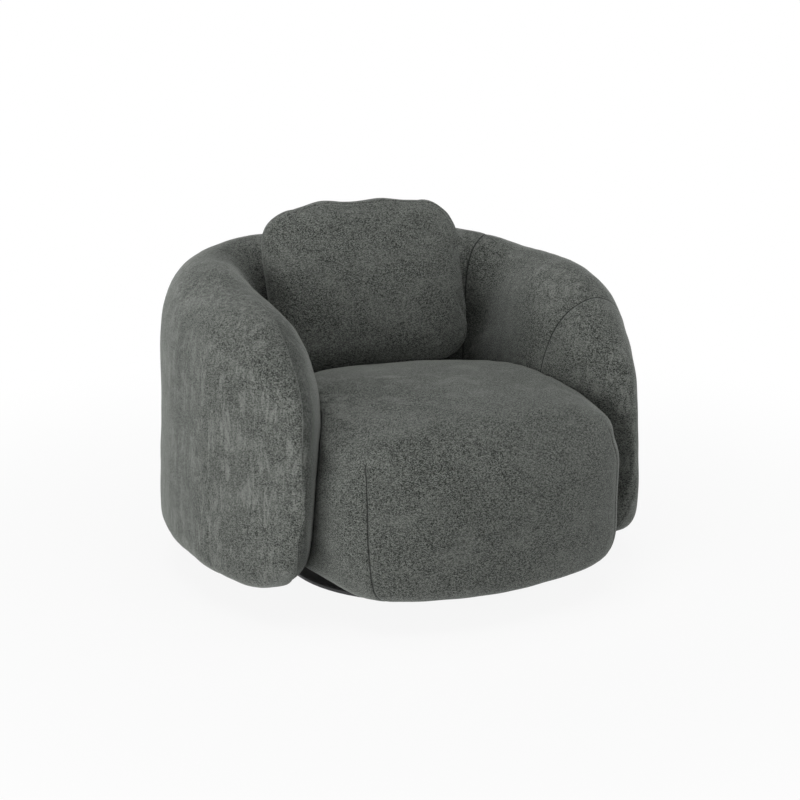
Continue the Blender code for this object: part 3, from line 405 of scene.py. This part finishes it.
def plain_material(name, low, high, roughness, metallic, grain, stretch, relief):
    """A hard finish between two shades: grain along a direction, cloudy wear and a fine relief."""
    g = Graph(name)
    here = g.place(stretch)
    fine = g.noise(here, grain, 4.0, 0.6, 0.4)
    cloudy = g.noise(g.place(), 14.0, 3.0, 0.55)
    color = g.mix((fine * 0.6 + cloudy * 0.4).ramp(0.38, 0.62), low, high)
    rough = roughness + (cloudy - 0.5) * 0.25
    bumpy = g.bump(fine, 0.4, relief)
    return g.finish(Base_Color=color, Metallic=metallic, Roughness=rough, Normal=bumpy)


# Shapes

def rise(share, power, lift_power):
    """0 at share 0 and 1 from share 1 on: (1 - (1 - share)^power)^(1 / lift_power)."""
    share = np.clip(share, 0.0, 1.0)
    return (1.0 - (1.0 - share) ** power) ** (1.0 / lift_power)


def around(angle, powers):
    """The superellipse point in the direction of each angle: |across|^p + |up|^q = 1."""
    across, up = np.cos(angle), np.sin(angle)
    size = np.abs(across) ** powers[0] + np.abs(up) ** powers[1]
    across = np.sign(across) * np.abs(across) / size ** (1 / powers[0])
    return across, np.sign(up) * np.abs(up) / size ** (1 / powers[1])


def local(value, place, reach):
    """1 at a place, 0 at its reach on either side and beyond, cosine squared between."""
    return np.cos(np.pi / 2 * np.clip((value - place) / reach, -1, 1)) ** 2


def mound(height, middle, spread):
    """1 at a height and less above and below it, as a bell's outline."""
    return np.exp(-((height - middle) / spread) ** 2)


def step(value, low, high):
    """0 below low, 1 above high, and the cubic 3t^2 - 2t^3 between."""
    t = np.clip((value - low) / (high - low), 0.0, 1.0)
    return t * t * (3 - 2 * t)


def lifts(shares, table):
    """The sum of small lifts, each 1 at its own place times its size."""
    return sum(size * local(shares, place, reach) for place, reach, size in table)


def wall_line(steps=600):
    """The wall's centre line in plan: a superellipse quarter from the back's middle, then the arm.

    Gives the distance travelled, x, y and the outward direction at evenly spaced places.
    """
    half = WALL_HALF_WIDTH - ARM_THICKNESS / 2
    across, along = around(np.linspace(np.pi / 2, 0.0, steps), PLAN_POWERS)
    share = np.linspace(0.0, 1.0, steps)[1:]
    x = np.concatenate([half * across, np.full(steps - 1, half)])
    y = np.concatenate([ARM_START_Y + BACK_REACH * along, ARM_START_Y - ARM_REACH * share])
    travelled = np.concatenate([[0.0], np.cumsum(np.hypot(np.diff(x), np.diff(y)))])
    at = np.linspace(0.0, travelled[-1], steps)
    x, y = np.interp(at, travelled, x), np.interp(at, travelled, y)
    run_x, run_y = np.gradient(x, at), np.gradient(y, at)
    size = np.hypot(run_x, run_y)
    return at, x, y, -run_y / size, run_x / size


LINE_AT, LINE_X, LINE_Y, OUT_X, OUT_Y = wall_line()
LENGTH = LINE_AT[-1]


def nose(at):
    """1 along most of the wall, and down to 0 over the arm's rounded nose."""
    return rise((LENGTH - at) / NOSE[0], *NOSE[1:])


def wall_half_thickness(at):
    """Half of a cubic Bernstein blend of four thicknesses along the line, drawn in at the nose."""
    share = np.sqrt(((at / LENGTH) ** 2 + EVEN_BACK ** 2) / (1 + EVEN_BACK ** 2))
    rest = 1 - share
    width = BACK_THICKNESS * rest ** 3 + 3 * BACK_CORNER_THICKNESS * share * rest ** 2
    width = width + 3 * ARM_CORNER_THICKNESS * share ** 2 * rest + ARM_THICKNESS * share ** 3
    return width / 2 * nose(at)


def wall_top(at):
    """The top's height: a superellipse fall along the arm, times two swells of cosine squared."""
    lift = rise((LENGTH - at) / TOP_FALL[0], *TOP_FALL[1:])
    return WALL_WAIST + (WALL_TOP - WALL_WAIST) * lift * (1 + lifts(at / LENGTH, SWELLS))


def wall_bottom(at):
    """The underside's height, which rises on a superellipse at the nose."""
    drop = rise((LENGTH - at) / BOTTOM_RISE[0], *BOTTOM_RISE[1:])
    return WALL_WAIST - (WALL_WAIST - WALL_BOTTOM) * drop


def wall_shift(at, height):
    """How far the section leans and bows outwards: a line plus a square of the height share."""
    lean = BACK_LEAN + (ARM_LEAN - BACK_LEAN) * step(at / LENGTH, 0.0, 1.0)
    up = (height - WALL_WAIST) / (WALL_TOP - WALL_WAIST)
    return lean * up + WALL_BOW * up * up


def shift_in(shares, up):
    """How far the section's top and bottom stand further in, by the square of the height share."""
    high, low = np.clip(up, 0, 1) ** 2, np.clip(-up, 0, 1) ** 2
    return lifts(shares, TOP_SHIFTS) * high + lifts(shares, BOTTOM_SHIFTS) * low


def inner_reach(at, height):
    """How far the inner side stands from the line: hollow at the corners, fuller at the nose."""
    share = at / LENGTH
    foot, deepest = HOLLOW_HEIGHTS
    deep = np.clip((height - foot) / (deepest - foot), 0, 1) ** 2
    place, reach, size, middle, spread = INNER_FULLNESS
    full = size * local(share, place, reach) * nose(at) * mound(height, middle, spread)
    return wall_half_thickness(at) * (1 - HOLLOW[2] * local(share, *HOLLOW[:2]) * deep) + full


def outer_reach(at, height):
    """How far the outer side stands from the line: a low belly along the corners and arms."""
    place, reach, size, middle, spread = OUTER_BELLY
    full = size * local(at / LENGTH, place, reach) * nose(at) * mound(height, middle, spread)
    return wall_half_thickness(at) + full


def section_form(angles):
    """Across and up, -1 to 1, of a section at each angle: its outer side is the squarer one."""
    upper, outer = np.sin(angles) >= 0, np.cos(angles) > 0
    forms = [around(angles, powers) for powers in
             (TOP_POWERS, BOTTOM_POWERS, OUTER_TOP_POWERS, OUTER_BOTTOM_POWERS)]
    return np.where(outer, np.where(upper, forms[2], forms[3]), np.where(upper, forms[0], forms[1]))


def wall_surface(places, angles):
    """Points of the wall: at each place along the line a superellipse section about the waist."""
    places, angles = np.broadcast_arrays(places, angles)
    at, side = np.abs(places), np.where(places < 0, -1.0, 1.0)
    across, up = section_form(angles)
    top = wall_top(at) + lifts(places / LENGTH, TOP_LIFTS)
    bottom = wall_bottom(at) + lifts(places / LENGTH, BOTTOM_LIFTS)
    z = WALL_WAIST + np.where(up >= 0, top - WALL_WAIST, WALL_WAIST - bottom) * up
    out = across * np.where(across > 0, outer_reach(at, z), inner_reach(at, z)) + wall_shift(at, z)
    out = out - shift_in(places / LENGTH, up)
    x = (np.interp(at, LINE_AT, LINE_X) + out * np.interp(at, LINE_AT, OUT_X)) * side
    y = np.interp(at, LINE_AT, LINE_Y) + out * np.interp(at, LINE_AT, OUT_Y)
    return np.stack([x, y, z], -1)


def pressed_back(points, gap):
    """Moves points that are inside the wall's inner face, or nearer than the gap, out of it.

    They move square to the wall's line, by how far they stand past the face at their own height.
    """
    x, y, z = points[:, 0], points[:, 1], points[:, 2]
    away = (LINE_X[None] - np.abs(x)[:, None]) ** 2 + (LINE_Y[None] - y[:, None]) ** 2
    nearest = np.argmin(away, axis=1)
    at, side = LINE_AT[nearest], np.sign(x)
    out_x, out_y = OUT_X[nearest], OUT_Y[nearest]
    top = wall_top(at) + lifts(at * side / LENGTH, TOP_LIFTS)
    bottom = wall_bottom(at) + lifts(at * side / LENGTH, BOTTOM_LIFTS)
    above = z >= WALL_WAIST
    up = (z - WALL_WAIST) / np.maximum(np.where(above, top - WALL_WAIST, WALL_WAIST - bottom), TINY)
    high, low = np.clip(up, 0, 1) ** TOP_POWERS[1], np.clip(-up, 0, 1) ** BOTTOM_POWERS[1]
    width = np.where(above, (1 - high) ** (1 / TOP_POWERS[0]), (1 - low) ** (1 / BOTTOM_POWERS[0]))
    face = wall_shift(at, z) - inner_reach(at, z) * width - shift_in(at * side / LENGTH, up)
    out = (np.abs(x) - LINE_X[nearest]) * out_x + (y - LINE_Y[nearest]) * out_y
    push = np.where((z < top) & (z > bottom), np.clip(out - face + gap, 0, None), 0.0)
    return points - np.stack([push * out_x * side, push * out_y, np.zeros_like(push)], 1)


def stuffed_block(turns, tilts, reach, powers):
    """A ball drawn out to a block: plan and profile are superellipses, each with its own reach."""
    half, front, back, up, down = reach
    turns, tilts = np.broadcast_arrays(turns, tilts)
    front_plan, rear_plan = around(turns, powers[0]), around(turns, powers[1])
    across, along = np.where(np.sin(turns) < 0, front_plan, rear_plan)
    width, lift = np.where(tilts >= 0, around(tilts, powers[2]), around(tilts, powers[3]))
    x = half * across * width
    y = np.where(along < 0, front, back) * along * width
    return np.stack([x, y, np.where(tilts >= 0, up, down) * lift], -1)


def seat_form(points):
    """The seat's own fullness on a plain block.

    Its low right side is fuller by a cosine square of the depth, its shoulders are full by another
    of the height, its crown falls to the front, its sides taper and its rear corners rise.
    """
    x, y, z = points[..., 0], points[..., 1], points[..., 2]
    half, front, _, up, down = SEAT_REACH
    size, depth, reach, sideways = SEAT_LOW_RIGHT
    fuller = size * np.clip(x / half, 0, 1) * local(-z / down, depth, reach) * (z <= 0)
    x, y, z = x * (1 + fuller * sideways), np.where(y < 0, y * (1 + fuller), y), z * (1 + fuller)
    across, lift = x / half, np.clip(z, 0, None) / up
    size, height, reach = SEAT_SHOULDER
    x = x + size * across * np.abs(across) * local(lift, height, reach) * (z > 0)
    z = z + SEAT_CROWN_TILT * lift * (y + front)
    x = x * (1 + SEAT_TAPER * y) * np.where(x > 0, SEAT_RIGHT_FULLNESS, 1.0)
    x, y, z = x + SEAT_CENTRE[0], y + SEAT_CENTRE[1], z + SEAT_CENTRE[2]
    high = np.clip((z - SEAT_REAR_FROM[0]) / SEAT_REAR_FROM[1], 0, 1)
    left = lifts(x, (SEAT_LEFT_REAR,)) * step(y, *SEAT_LEFT_REAR_RUN)
    right = lifts(x, (SEAT_RIGHT_REAR,)) * step(y, *SEAT_RIGHT_REAR_RUN)
    return np.stack([x, y, z + high * (left + right)], -1)


def drawn_in(points):
    """The cushion's sides pulled in between its corners, by 1 - the square of the share along."""
    x, y, z = points[..., 0], points[..., 1], points[..., 2]
    across, along = x / CUSHION_REACH[0], y / CUSHION_REACH[1]
    drawn_x = CUSHION_DRAWN_IN * across * (1 - along * along)
    drawn_y = CUSHION_DRAWN_IN * along * (1 - across * across)
    return np.stack([x - drawn_x, y - drawn_y, z], -1)


def spaced(low, high, gap, spots):
    """Places from low to high whose gap narrows near spots: a place, a narrow gap and a reach each.

    Places in a unit of length are 1 / gap plus a bell at each spot, and their running sum is cut
    into equal steps.
    """
    fine = np.linspace(low, high, 6000)
    bells = (((1 / narrow - 1 / gap) * mound(fine, place, reach)) for place, narrow, reach in spots)
    crowd = 1 / gap + sum(bells, 0 * fine)
    sum_of = np.concatenate([[0.0], np.cumsum((crowd[1:] + crowd[:-1]) / 2 * np.diff(fine))])
    return np.interp(np.linspace(0.0, sum_of[-1], int(sum_of[-1]) + 1), sum_of, fine)


# Meshes

def closed_grid(name, points, **fields):
    """A closed mesh from rings of points, both ends closed to a middle, with numbers noted."""
    rows, columns = points.shape[:2]
    flat = np.concatenate([points.reshape(-1, 3), points[[0, -1]].mean(1)])
    index = np.arange(rows * columns).reshape(rows, columns)
    turned = np.roll(index, -1, 1)
    quads = np.stack([index[:-1], index[1:], turned[1:], turned[:-1]], -1).reshape(-1, 4).tolist()
    first = np.stack([index[0], turned[0], np.full(columns, rows * columns)], -1).tolist()
    last = np.stack([turned[-1], index[-1], np.full(columns, rows * columns + 1)], -1).tolist()
    mesh = bpy.data.meshes.new(name)
    mesh.from_pydata(flat.tolist(), [], quads + first + last)
    bm = bmesh.new()
    bm.from_mesh(mesh)
    bmesh.ops.recalc_face_normals(bm, faces=bm.faces)
    bm.to_mesh(mesh)
    bm.free()
    mesh.shade_smooth()
    thing = bpy.data.objects.new(name, mesh)
    scene.collection.objects.link(thing)
    for field, values in fields.items():
        values = np.broadcast_to(values, points.shape[:2])
        note(thing, field, np.concatenate([values.ravel(), values[[0, -1]].mean(1)]))
    return thing


def vertices(thing):
    """A mesh's vertices as an array."""
    flat = np.empty(len(thing.data.vertices) * 3)
    thing.data.vertices.foreach_get("co", flat)
    return flat.reshape(-1, 3)


def move_vertices(thing, points):
    """Puts an array back as a mesh's vertices."""
    thing.data.vertices.foreach_set("co", points.ravel())
    thing.data.update()


def note(thing, name, values):
    """Stores one number for each vertex, for the material to read."""
    attribute = thing.data.attributes.new(name, "FLOAT", "POINT")
    attribute.data.foreach_set("value", np.asarray(values, float).ravel())


def noted(thing, name):
    """The numbers stored under a name."""
    values = np.empty(len(thing.data.vertices))
    thing.data.attributes[name].data.foreach_get("value", values)
    return values


def dress(thing, material, body, replaced):
    """Gives a finished piece its material, body, slot and the solids it stands for."""
    thing.data.materials.clear()
    thing.data.materials.append(material)
    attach(thing, body)
    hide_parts(*replaced)
    return thing


def slow_swell(points, wavelength, phase):
    """A slow, smooth unevenness from -1 to 1: a sum of three sines of the place."""
    k = 2 * np.pi / wavelength
    x, y, z = points.T
    waves = np.sin(k * (x + 0.6 * z) + phase) + np.sin(k * 1.37 * (y - 0.4 * x) + 2.1 * phase)
    return (waves + np.sin(k * 0.83 * (z + 0.5 * y) - 1.3 * phase)) / 3


def unevenness(points, table):
    """The sum of slow swells in metres: size, wavelength and phase of each."""
    return sum(size * slow_swell(points, wavelength, phase) for size, wavelength, phase in table)


def along_normals(thing, amount):
    """Moves each vertex along its normal by its own amount in metres."""
    flat = np.empty(len(thing.data.vertices) * 3)
    thing.data.vertex_normals.foreach_get("vector", flat)
    move_vertices(thing, vertices(thing) + flat.reshape(-1, 3) * np.asarray(amount)[:, None])


def blown_up(thing, voxel, pressure, cap):
    """Fills a piece's cover as cloth: a remeshed copy is blown up, and the piece follows it.

    Each point takes the mean travel of the nearest points on the copy, by the inverse of their
    distance, and no more than the cap. Then the piece is stretched back to the box it had.
    """
    copy = bpy.data.objects.new(thing.name + "_case", thing.data.copy())
    scene.collection.objects.link(copy)
    remesh = copy.modifiers.new("remesh", "REMESH")
    remesh.mode = "VOXEL"
    remesh.voxel_size = voxel
    graph = bpy.context.evaluated_depsgraph_get()
    case = bpy.data.meshes.new_from_object(copy.evaluated_get(graph))
    copy.modifiers.clear()
    copy.data = case
    settings = copy.modifiers.new("cloth", "CLOTH").settings
    for key, value in CLOTH_SETTINGS.items():
        setattr(settings, key, value)
    settings.uniform_pressure_force = pressure
    settings.effector_weights.gravity = 0.0
    rest = vertices(copy)
    for number in range(1, CLOTH_FRAMES + 1):
        scene.frame_set(number)
    graph = bpy.context.evaluated_depsgraph_get()
    filled = copy.evaluated_get(graph).to_mesh()
    flat = np.empty(len(filled.vertices) * 3)
    filled.vertices.foreach_get("co", flat)
    travel = flat.reshape(-1, 3) - rest
    copy.evaluated_get(graph).to_mesh_clear()
    scene.frame_set(1)
    bpy.data.objects.remove(copy, do_unlink=True)

    tree = KDTree(len(rest))
    for i, point in enumerate(rest):
        tree.insert(point, i)
    tree.balance()
    points = vertices(thing)
    near = [tree.find_n(point, NEAREST_POINTS) for point in points]
    index = np.array([[found[1] for found in group] for group in near])
    away = np.array([[found[2] for found in group] for group in near])
    weight = 1 / (away + voxel / 4)
    moved = (travel[index] * weight[..., None]).sum(1) / weight.sum(1)[:, None]
    length = np.linalg.norm(moved, axis=1)
    moved *= (cap * np.tanh(length / cap) / np.maximum(length, TINY))[:, None]
    low, high = points.min(0), points.max(0)
    moved += points
    moved -= moved.min(0)
    move_vertices(thing, low + moved * (high - low) / moved.max(0))


def seam_distance(grid, points, at, axis):
    """Metres from each point to a grid line, square to it, by the grid's own stretch."""
    travel = np.linalg.norm(np.gradient(points, axis=axis), axis=-1)
    stretch = travel / np.maximum(np.gradient(grid, axis=axis), TINY)
    return (grid - at) * stretch


def wall_grid():
    """The wall's grid, laid along its seams: each point's run, turn, place on the line and angle.

    The seams across it are lines of equal run, whose top ends lean forward. The edge seams are
    lines of equal turn, over and under the inner side, and swing forward over the noses.
    """
    seams, sides = (BACK_SEAM, ARM_SEAM), (-1, 1)
    spots = [(side * seam[0] * LENGTH, *RADIAL_GAP) for side in sides for seam in seams]
    spots += [(side * LENGTH, *NOSE_GAP) for side in sides]
    run = spaced(-LENGTH * WALL_END, LENGTH * WALL_END, WALL_GAPS[0], spots)[:, None]
    over, under = math.acos(EDGE_SEAM), 2 * np.pi - math.acos(EDGE_SEAM)
    spots = [(over, *EDGE_GAP), (under, *EDGE_GAP)]
    turn = spaced(0.0, 2 * np.pi, WALL_GAPS[1], spots)[None, :-1]
    high = np.clip(section_form(turn)[1], 0, 1)
    share = np.abs(run) / LENGTH
    forward = sum(lean * high ** power * local(share, at, SEAM_LEAN_REACH)
                  for at, lean, power in seams)
    places = run + np.sign(run) * forward * LENGTH
    swing = EDGE_SWING[0] * np.exp((share - 1) / EDGE_SWING[1])
    upper = turn * (over - swing) / over
    inner = over - swing + (turn - over) * (under - over + 2 * swing) / (under - over)
    lower = 2 * np.pi - (2 * np.pi - turn) * (over - swing) / over
    angles = np.where(turn < over, upper, np.where(turn < under, inner, lower))
    run, turn = np.broadcast_to(run, places.shape), np.broadcast_to(turn, places.shape)
    return run, turn, places, angles


def wall_relief(radial, edge, across, shown):
    """Metres that the seams sink: bells at each, and steps that raise the panel and its lip."""
    valley = RADIAL_VALLEY[0] * mound(radial, 0.0, RADIAL_VALLEY[1])
    panel = shown * (1 - step(edge, *PANEL_EDGE)) + (1 - shown) * step(across, *PANEL_FADE)
    valley = valley - PANEL_HEIGHT * panel
    valley = valley - shown * LIP_HEIGHT * step(edge, *LIP_REACH) * (edge < 0)
    return valley + shown * EDGE_VALLEY[0] * mound(edge, 0.0, EDGE_VALLEY[1])


def wall_painted_shade(edge, across, height, share, left_show):
    """Painted shade: darker colour inside the left edge seam and at the inner side's foot."""
    strip = left_show * step(edge, *STRIP_START) * (1 - step(edge, *STRIP_END))
    raised = local(share, *FOOT_PLACE)
    low, top = (start + lift * raised for start, lift in zip(FOOT_HEIGHTS, FOOT_LIFTS))
    foot = step(-across, *FOOT_ACROSS) * (1 - step(height, low, top))
    return np.maximum(strip, FOOT_PAINTED_SHADE * foot * (1 - step(share, *FOOT_END)))


def wall_piece():
    """The whole wall as one cover, with a soft valley at each seam and raised outer panels."""
    run, turn, places, angles = wall_grid()
    points = wall_surface(places, angles)
    across, up = section_form(turn)
    over, under = math.acos(EDGE_SEAM), 2 * np.pi - math.acos(EDGE_SEAM)
    side = np.sign(run) * LENGTH
    back, arm = (np.abs(seam_distance(run, points, side * seam[0], 0)) + fade * (run < 0)
                 for seam, fade in zip((BACK_SEAM, ARM_SEAM), LEFT_VALLEY_FADE))
    radial = np.minimum(back, arm)
    above, below = seam_distance(turn, points, over, 1), -seam_distance(turn, points, under, 1)
    edge = np.where(turn < np.pi, above, below)
    left_show, right_show = step(-run / LENGTH, *PANEL_LEFT), step(run / LENGTH, *PANEL_RIGHT)
    shown = left_show + PANEL_RIGHT_SHOW * right_show
    brushed = step(across, *BRUSHED_ACROSS) * step(-run, *BRUSHED_ALONG)
    brushed = brushed + step(up, *BRUSHED_TOP) + BRUSHED_RIGHT * right_show
    # painted shade in the colour: the strip inside the left edge seam and the inner side's foot
    nap = wall_painted_shade(edge, across, points[..., 2], np.abs(run) / LENGTH, left_show)
    edge_seam = np.abs(edge) + PANEL_HIDDEN * (1 - shown)
    thing = closed_grid("wall_cover", points, radial_seam=radial, edge_seam=edge_seam,
                        brushed=np.clip(brushed, 0, 1), nap=nap)
    ends = step(LENGTH - np.abs(places), 0.0, NOSE_FADE)
    valley = wall_relief(radial, edge, across, shown) * ends
    middles = [0.0, 0.0]
    ends, valley = (np.concatenate([values.ravel(), middles]) for values in (ends, valley))
    along_normals(thing, unevenness(vertices(thing), WALL_UNEVENNESS) * ends - valley)
    return thing


def seat_piece():
    """The seat's cover, its grid laid along the two sewn darts of its front corners."""
    turn = spaced(-np.pi, np.pi, SEAT_GAPS[0], [(dart, *DART_GAP) for dart in DARTS])[:-1][None]
    pole = np.pi / 2 - SEAT_POLE
    tilt = spaced(-pole, pole, SEAT_GAPS[1], [])[:, None]
    swing = DART_SWING[0] * step(tilt, DART_START, DART_TOP)
    swing = swing - DART_LOW_SWING[0] * step(-tilt, *DART_LOW_SWING[1:])
    swing = swing * local(turn, DARTS[0], DART_SWING[1])
    points = seat_form(stuffed_block(turn - swing, tilt, SEAT_REACH, SEAT_POWERS))
    turns = np.broadcast_to(turn, points.shape[:2])
    tilts = np.broadcast_to(tilt, points.shape[:2])
    left, right = (np.abs(seam_distance(turns, points, dart, 1)) for dart in DARTS)
    past = np.clip(seam_distance(tilts, points, DART_TOP, 0), 0, None)
    dart = np.hypot(np.minimum(left, right), past)
    brushed = step(points[..., 1], *SEAT_BRUSHED_RUN) * step(points[..., 2], *SEAT_BRUSHED_HEIGHTS)
    thing = closed_grid("seat_cover", points, dart_seam=dart, brushed=brushed)
    blown_up(thing, *SEAT_FILLING)
    groove = DART_GROOVE[0] * mound(noted(thing, "dart_seam"), 0.0, DART_GROOVE[1])
    along_normals(thing, unevenness(vertices(thing), SEAT_UNEVENNESS) - groove)
    move_vertices(thing, pressed_back(vertices(thing), SEAT_WALL_GAP))
    return thing


def cushion_piece():
    """The loose cushion: a thin stuffed block with a sewn border, filled, stood up, leaned back."""
    turn = np.linspace(-np.pi, np.pi, CUSHION_COLUMNS, endpoint=False)[None]
    pole = np.pi / 2 - CUSHION_POLE
    tilt = spaced(-pole, pole, CUSHION_GAP, BORDER_SPOTS)[:, None]
    points = drawn_in(stuffed_block(turn, tilt, CUSHION_REACH, CUSHION_POWERS))
    front, rear = (np.abs(points[..., 2] - depth) for depth in CUSHION_SEAMS)
    seam = np.minimum(front, rear) * BORDER_STRETCH + BORDER_LEAST
    thing = closed_grid("back_cushion_cover", points, border_seam=seam, brushed=CUSHION_BRUSHED)
    blown_up(thing, *CUSHION_FILLING)
    flat = vertices(thing)
    high = np.clip(flat[:, 1] / CUSHION_REACH[1], 0, 1) ** 2
    flat[:, 1] += lifts(flat[:, 0], CUSHION_TOP_LIFTS) * high
    move_vertices(thing, flat)
    seam = noted(thing, "border_seam")
    waves = np.sin(flat[:, 0] * GATHER_WAVES[0]) + np.sin(flat[:, 1] * GATHER_WAVES[1] + 1.0)
    gathers = GATHERS[0] * waves * mound(seam, *GATHERS[1:])
    uneven = unevenness(flat, CUSHION_UNEVENNESS) + gathers
    groove = BORDER_GROOVE[0] * mound(seam, 0.0, BORDER_GROOVE[1])
    along_normals(thing, uneven - groove + BORDER_WELT[0] * mound(seam, *BORDER_WELT[1:]))
    turned = Matrix.Rotation(CUSHION_TURN, 4, "Z")
    stand = Matrix.Rotation(math.pi / 2 - CUSHION_TILT, 4, "X")
    roll = Matrix.Rotation(-CUSHION_ROLL, 4, "Z")
    thing.data.transform(Matrix.Translation(CUSHION_CENTRE) @ turned @ stand @ roll)
    move_vertices(thing, pressed_back(vertices(thing), CUSHION_WALL_GAP))
    return thing


# Stage, light and camera

def stage_shade():
    """Pale matte floor that the camera sees as white, with part of its shading and shadow kept."""
    g = Graph("stage_white", Base_Color=FLOOR_SHADE, Roughness=1.0)
    seen = g.node("LightPath", out="Is Camera Ray")
    glossy = g.node("LightPath", out="Is Glossy Ray")
    through = g.node("LightPath", out="Is Transmission Ray")
    glow = g.node("Emission", None, Color=WHITE, Strength=1.0)
    here = g.node("TexCoord", out="Object")
    far = g.node("VectorMath", dict(operation="LENGTH"), here, out="Value")
    share = seen.most(glossy).most(through) * far.ramp(*FLOOR_GLOW)
    mixed = g.node("MixShader", None, share, Flow(g, g.shader.outputs[0]), glow)
    g.tree.links.new(mixed.socket, g.tree.nodes["Material Output"].inputs["Surface"])
    return g.material


def make_stage():
    """A wide flat floor under the chair."""
    far = FLOOR_HALF_WIDTH
    corners = [(-far, -far, 0), (far, -far, 0), (far, far, 0), (-far, far, 0)]
    mesh = bpy.data.meshes.new("floor")
    mesh.from_pydata(corners, [], [(0, 1, 2, 3)])
    floor = bpy.data.objects.new("floor", mesh)
    floor.data.materials.append(stage_shade())
    scene.collection.objects.link(floor)


def soft_lamp(name, place, size, power):
    """A large square lamp that points from its place to the middle of the chair."""
    light = bpy.data.lights.new(name, "AREA")
    light.shape = "SQUARE"
    light.size = size
    light.energy = power
    lamp = bpy.data.objects.new(name, light)
    lamp.location = place
    lamp.rotation_euler = (Vector(LAMP_AIM) - Vector(place)).to_track_quat("-Z", "Y").to_euler()
    scene.collection.objects.link(lamp)


def make_light():
    """A faint sky all round, which the camera sees as white, and the wide soft lamps."""
    world = bpy.data.worlds.new("studio")
    scene.world = world
    world.use_nodes = True
    tree = world.node_tree
    back = tree.nodes["Background"]
    path = tree.nodes.new("ShaderNodeLightPath")
    strength = tree.nodes.new("ShaderNodeMapRange")
    strength.inputs["To Min"].default_value = SKY_STRENGTH
    strength.inputs["To Max"].default_value = 1.0
    tree.links.new(path.outputs["Is Camera Ray"], strength.inputs["Value"])
    tree.links.new(strength.outputs[0], back.inputs["Strength"])
    back.inputs["Color"].default_value = (*WHITE, 1.0)
    for lamp in LAMPS:
        soft_lamp(*lamp)


def make_camera():
    """The photograph's view: turn, height angle, distance and framing."""
    level = math.cos(VIEW_LIFT)
    back = Vector((math.sin(VIEW_TURN) * level, -math.cos(VIEW_TURN) * level, math.sin(VIEW_LIFT)))
    data = bpy.data.cameras.new("view")
    data.sensor_width = VIEW_SENSOR
    data.lens = VIEW_LENS
    data.shift_x, data.shift_y = VIEW_SHIFT
    data.clip_end = 100.0
    camera = bpy.data.objects.new("view", data)
    camera.location = VIEW_TARGET + back * VIEW_DISTANCE
    camera.rotation_euler = (-back).to_track_quat("-Z", "Y").to_euler()
    scene.collection.objects.link(camera)
    scene.camera = camera


make_camera()
make_light()
make_stage()
scene.view_settings.view_transform = "Standard"

# Soft covers: the solids that each stands for, its seams and its fabric
WALL_NODES = ("left_arm", "left_corner", "wall_back", "right_corner", "right_arm")
SEAT_NODES = ("seat_cushion", "seat_front_pad", "seat_left_pad", "seat_right_pad")
CUSHION_NODES = ("back_cushion",)
# the edge seam's pale line is a painted highlight along its raised edge; the radial seams are dark
WALL_SEAMS = (("radial_seam", SEAM_SHADE, 0.9, -2.6), ("edge_seam", FABRIC_BRUSHED_AND_HIGHLIGHT, 0.55, 1.0))
SEAT_SEAMS = (("dart_seam", SEAM_SHADE, 0.75, -2.6),)
BORDER_SEAMS = (("border_seam", SEAM_SHADE, 0.12, -0.6),)
wall_cloth = pile_fabric("wall_pile", WALL_SEAMS, (1.0, 1.0, 0.20))
seat_cloth = pile_fabric("seat_pile", SEAT_SEAMS, (0.2, 0.35, 1.0))
cushion_cloth = pile_fabric("cushion_pile", BORDER_SEAMS, (1.0, 1.0, 0.6))
wall = dress(wall_piece(), wall_cloth, "seat", WALL_NODES)
seat = dress(seat_piece(), seat_cloth, "seat", SEAT_NODES)
cushion = dress(cushion_piece(), cushion_cloth, "back_cushion", CUSHION_NODES)

# Hard finishes: name, two shades, roughness, metallic, grain, its stretch and relief, then words
# in the names of the solids that have it. A later finish goes over an earlier one.
PLAIN = (1.0, 1.0, 1.0)
HARD_FINISHES = (
    ("black_powder_coat", (0.010, 0.010, 0.011), (0.020, 0.020, 0.021), 0.48, 0.0, 900.0,
     PLAIN, 0.0002, ("base_plate",)),
    ("zinc_plating", (0.36, 0.36, 0.37), (0.52, 0.52, 0.53), 0.38, 1.0, 70.0,
     PLAIN, 0.0002, ("bearing_lower_ring", "bearing_upper_ring", "swivel_plate", "pivot",
                     "swivel_bolt")),
    ("bright_steel", (0.52, 0.52, 0.53), (0.62, 0.62, 0.63), 0.22, 1.0, 200.0,
     PLAIN, 0.0002, ("ball_",)),
    ("spring_wire", (0.20, 0.20, 0.21), (0.33, 0.33, 0.34), 0.42, 1.0, 160.0,
     PLAIN, 0.0002, ("seat_spring",)),
    ("cage_plastic", (0.56, 0.56, 0.52), (0.66, 0.66, 0.61), 0.5, 0.0, 300.0,
     PLAIN, 0.0002, ("ball_cage",)),
    ("plywood", (0.40, 0.26, 0.13), (0.60, 0.43, 0.25), 0.7, 0.0, 40.0,
     (0.12, 1.0, 1.0), 0.0006, ("bottom_board", "swivel_board")),
    ("timber", (0.34, 0.21, 0.10), (0.54, 0.37, 0.20), 0.72, 0.0, 46.0,
     (1.0, 0.10, 0.35), 0.0006, ("rail", "post")),
    ("dust_cloth", (0.010, 0.010, 0.010), (0.028, 0.028, 0.028), 0.95, 0.0, 800.0,
     PLAIN, 0.0008, ("dust_cover",)),
    ("glide_felt", (0.040, 0.040, 0.042), (0.085, 0.085, 0.088), 0.96, 0.0, 900.0,
     PLAIN, 0.0008, ("glide",)),
)
for *finish, words in HARD_FINISHES:
    material = plain_material(*finish)
    for name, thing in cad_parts.items():
        if any(word in name for word in words):
            for slot in thing.material_slots:
                slot.material = material
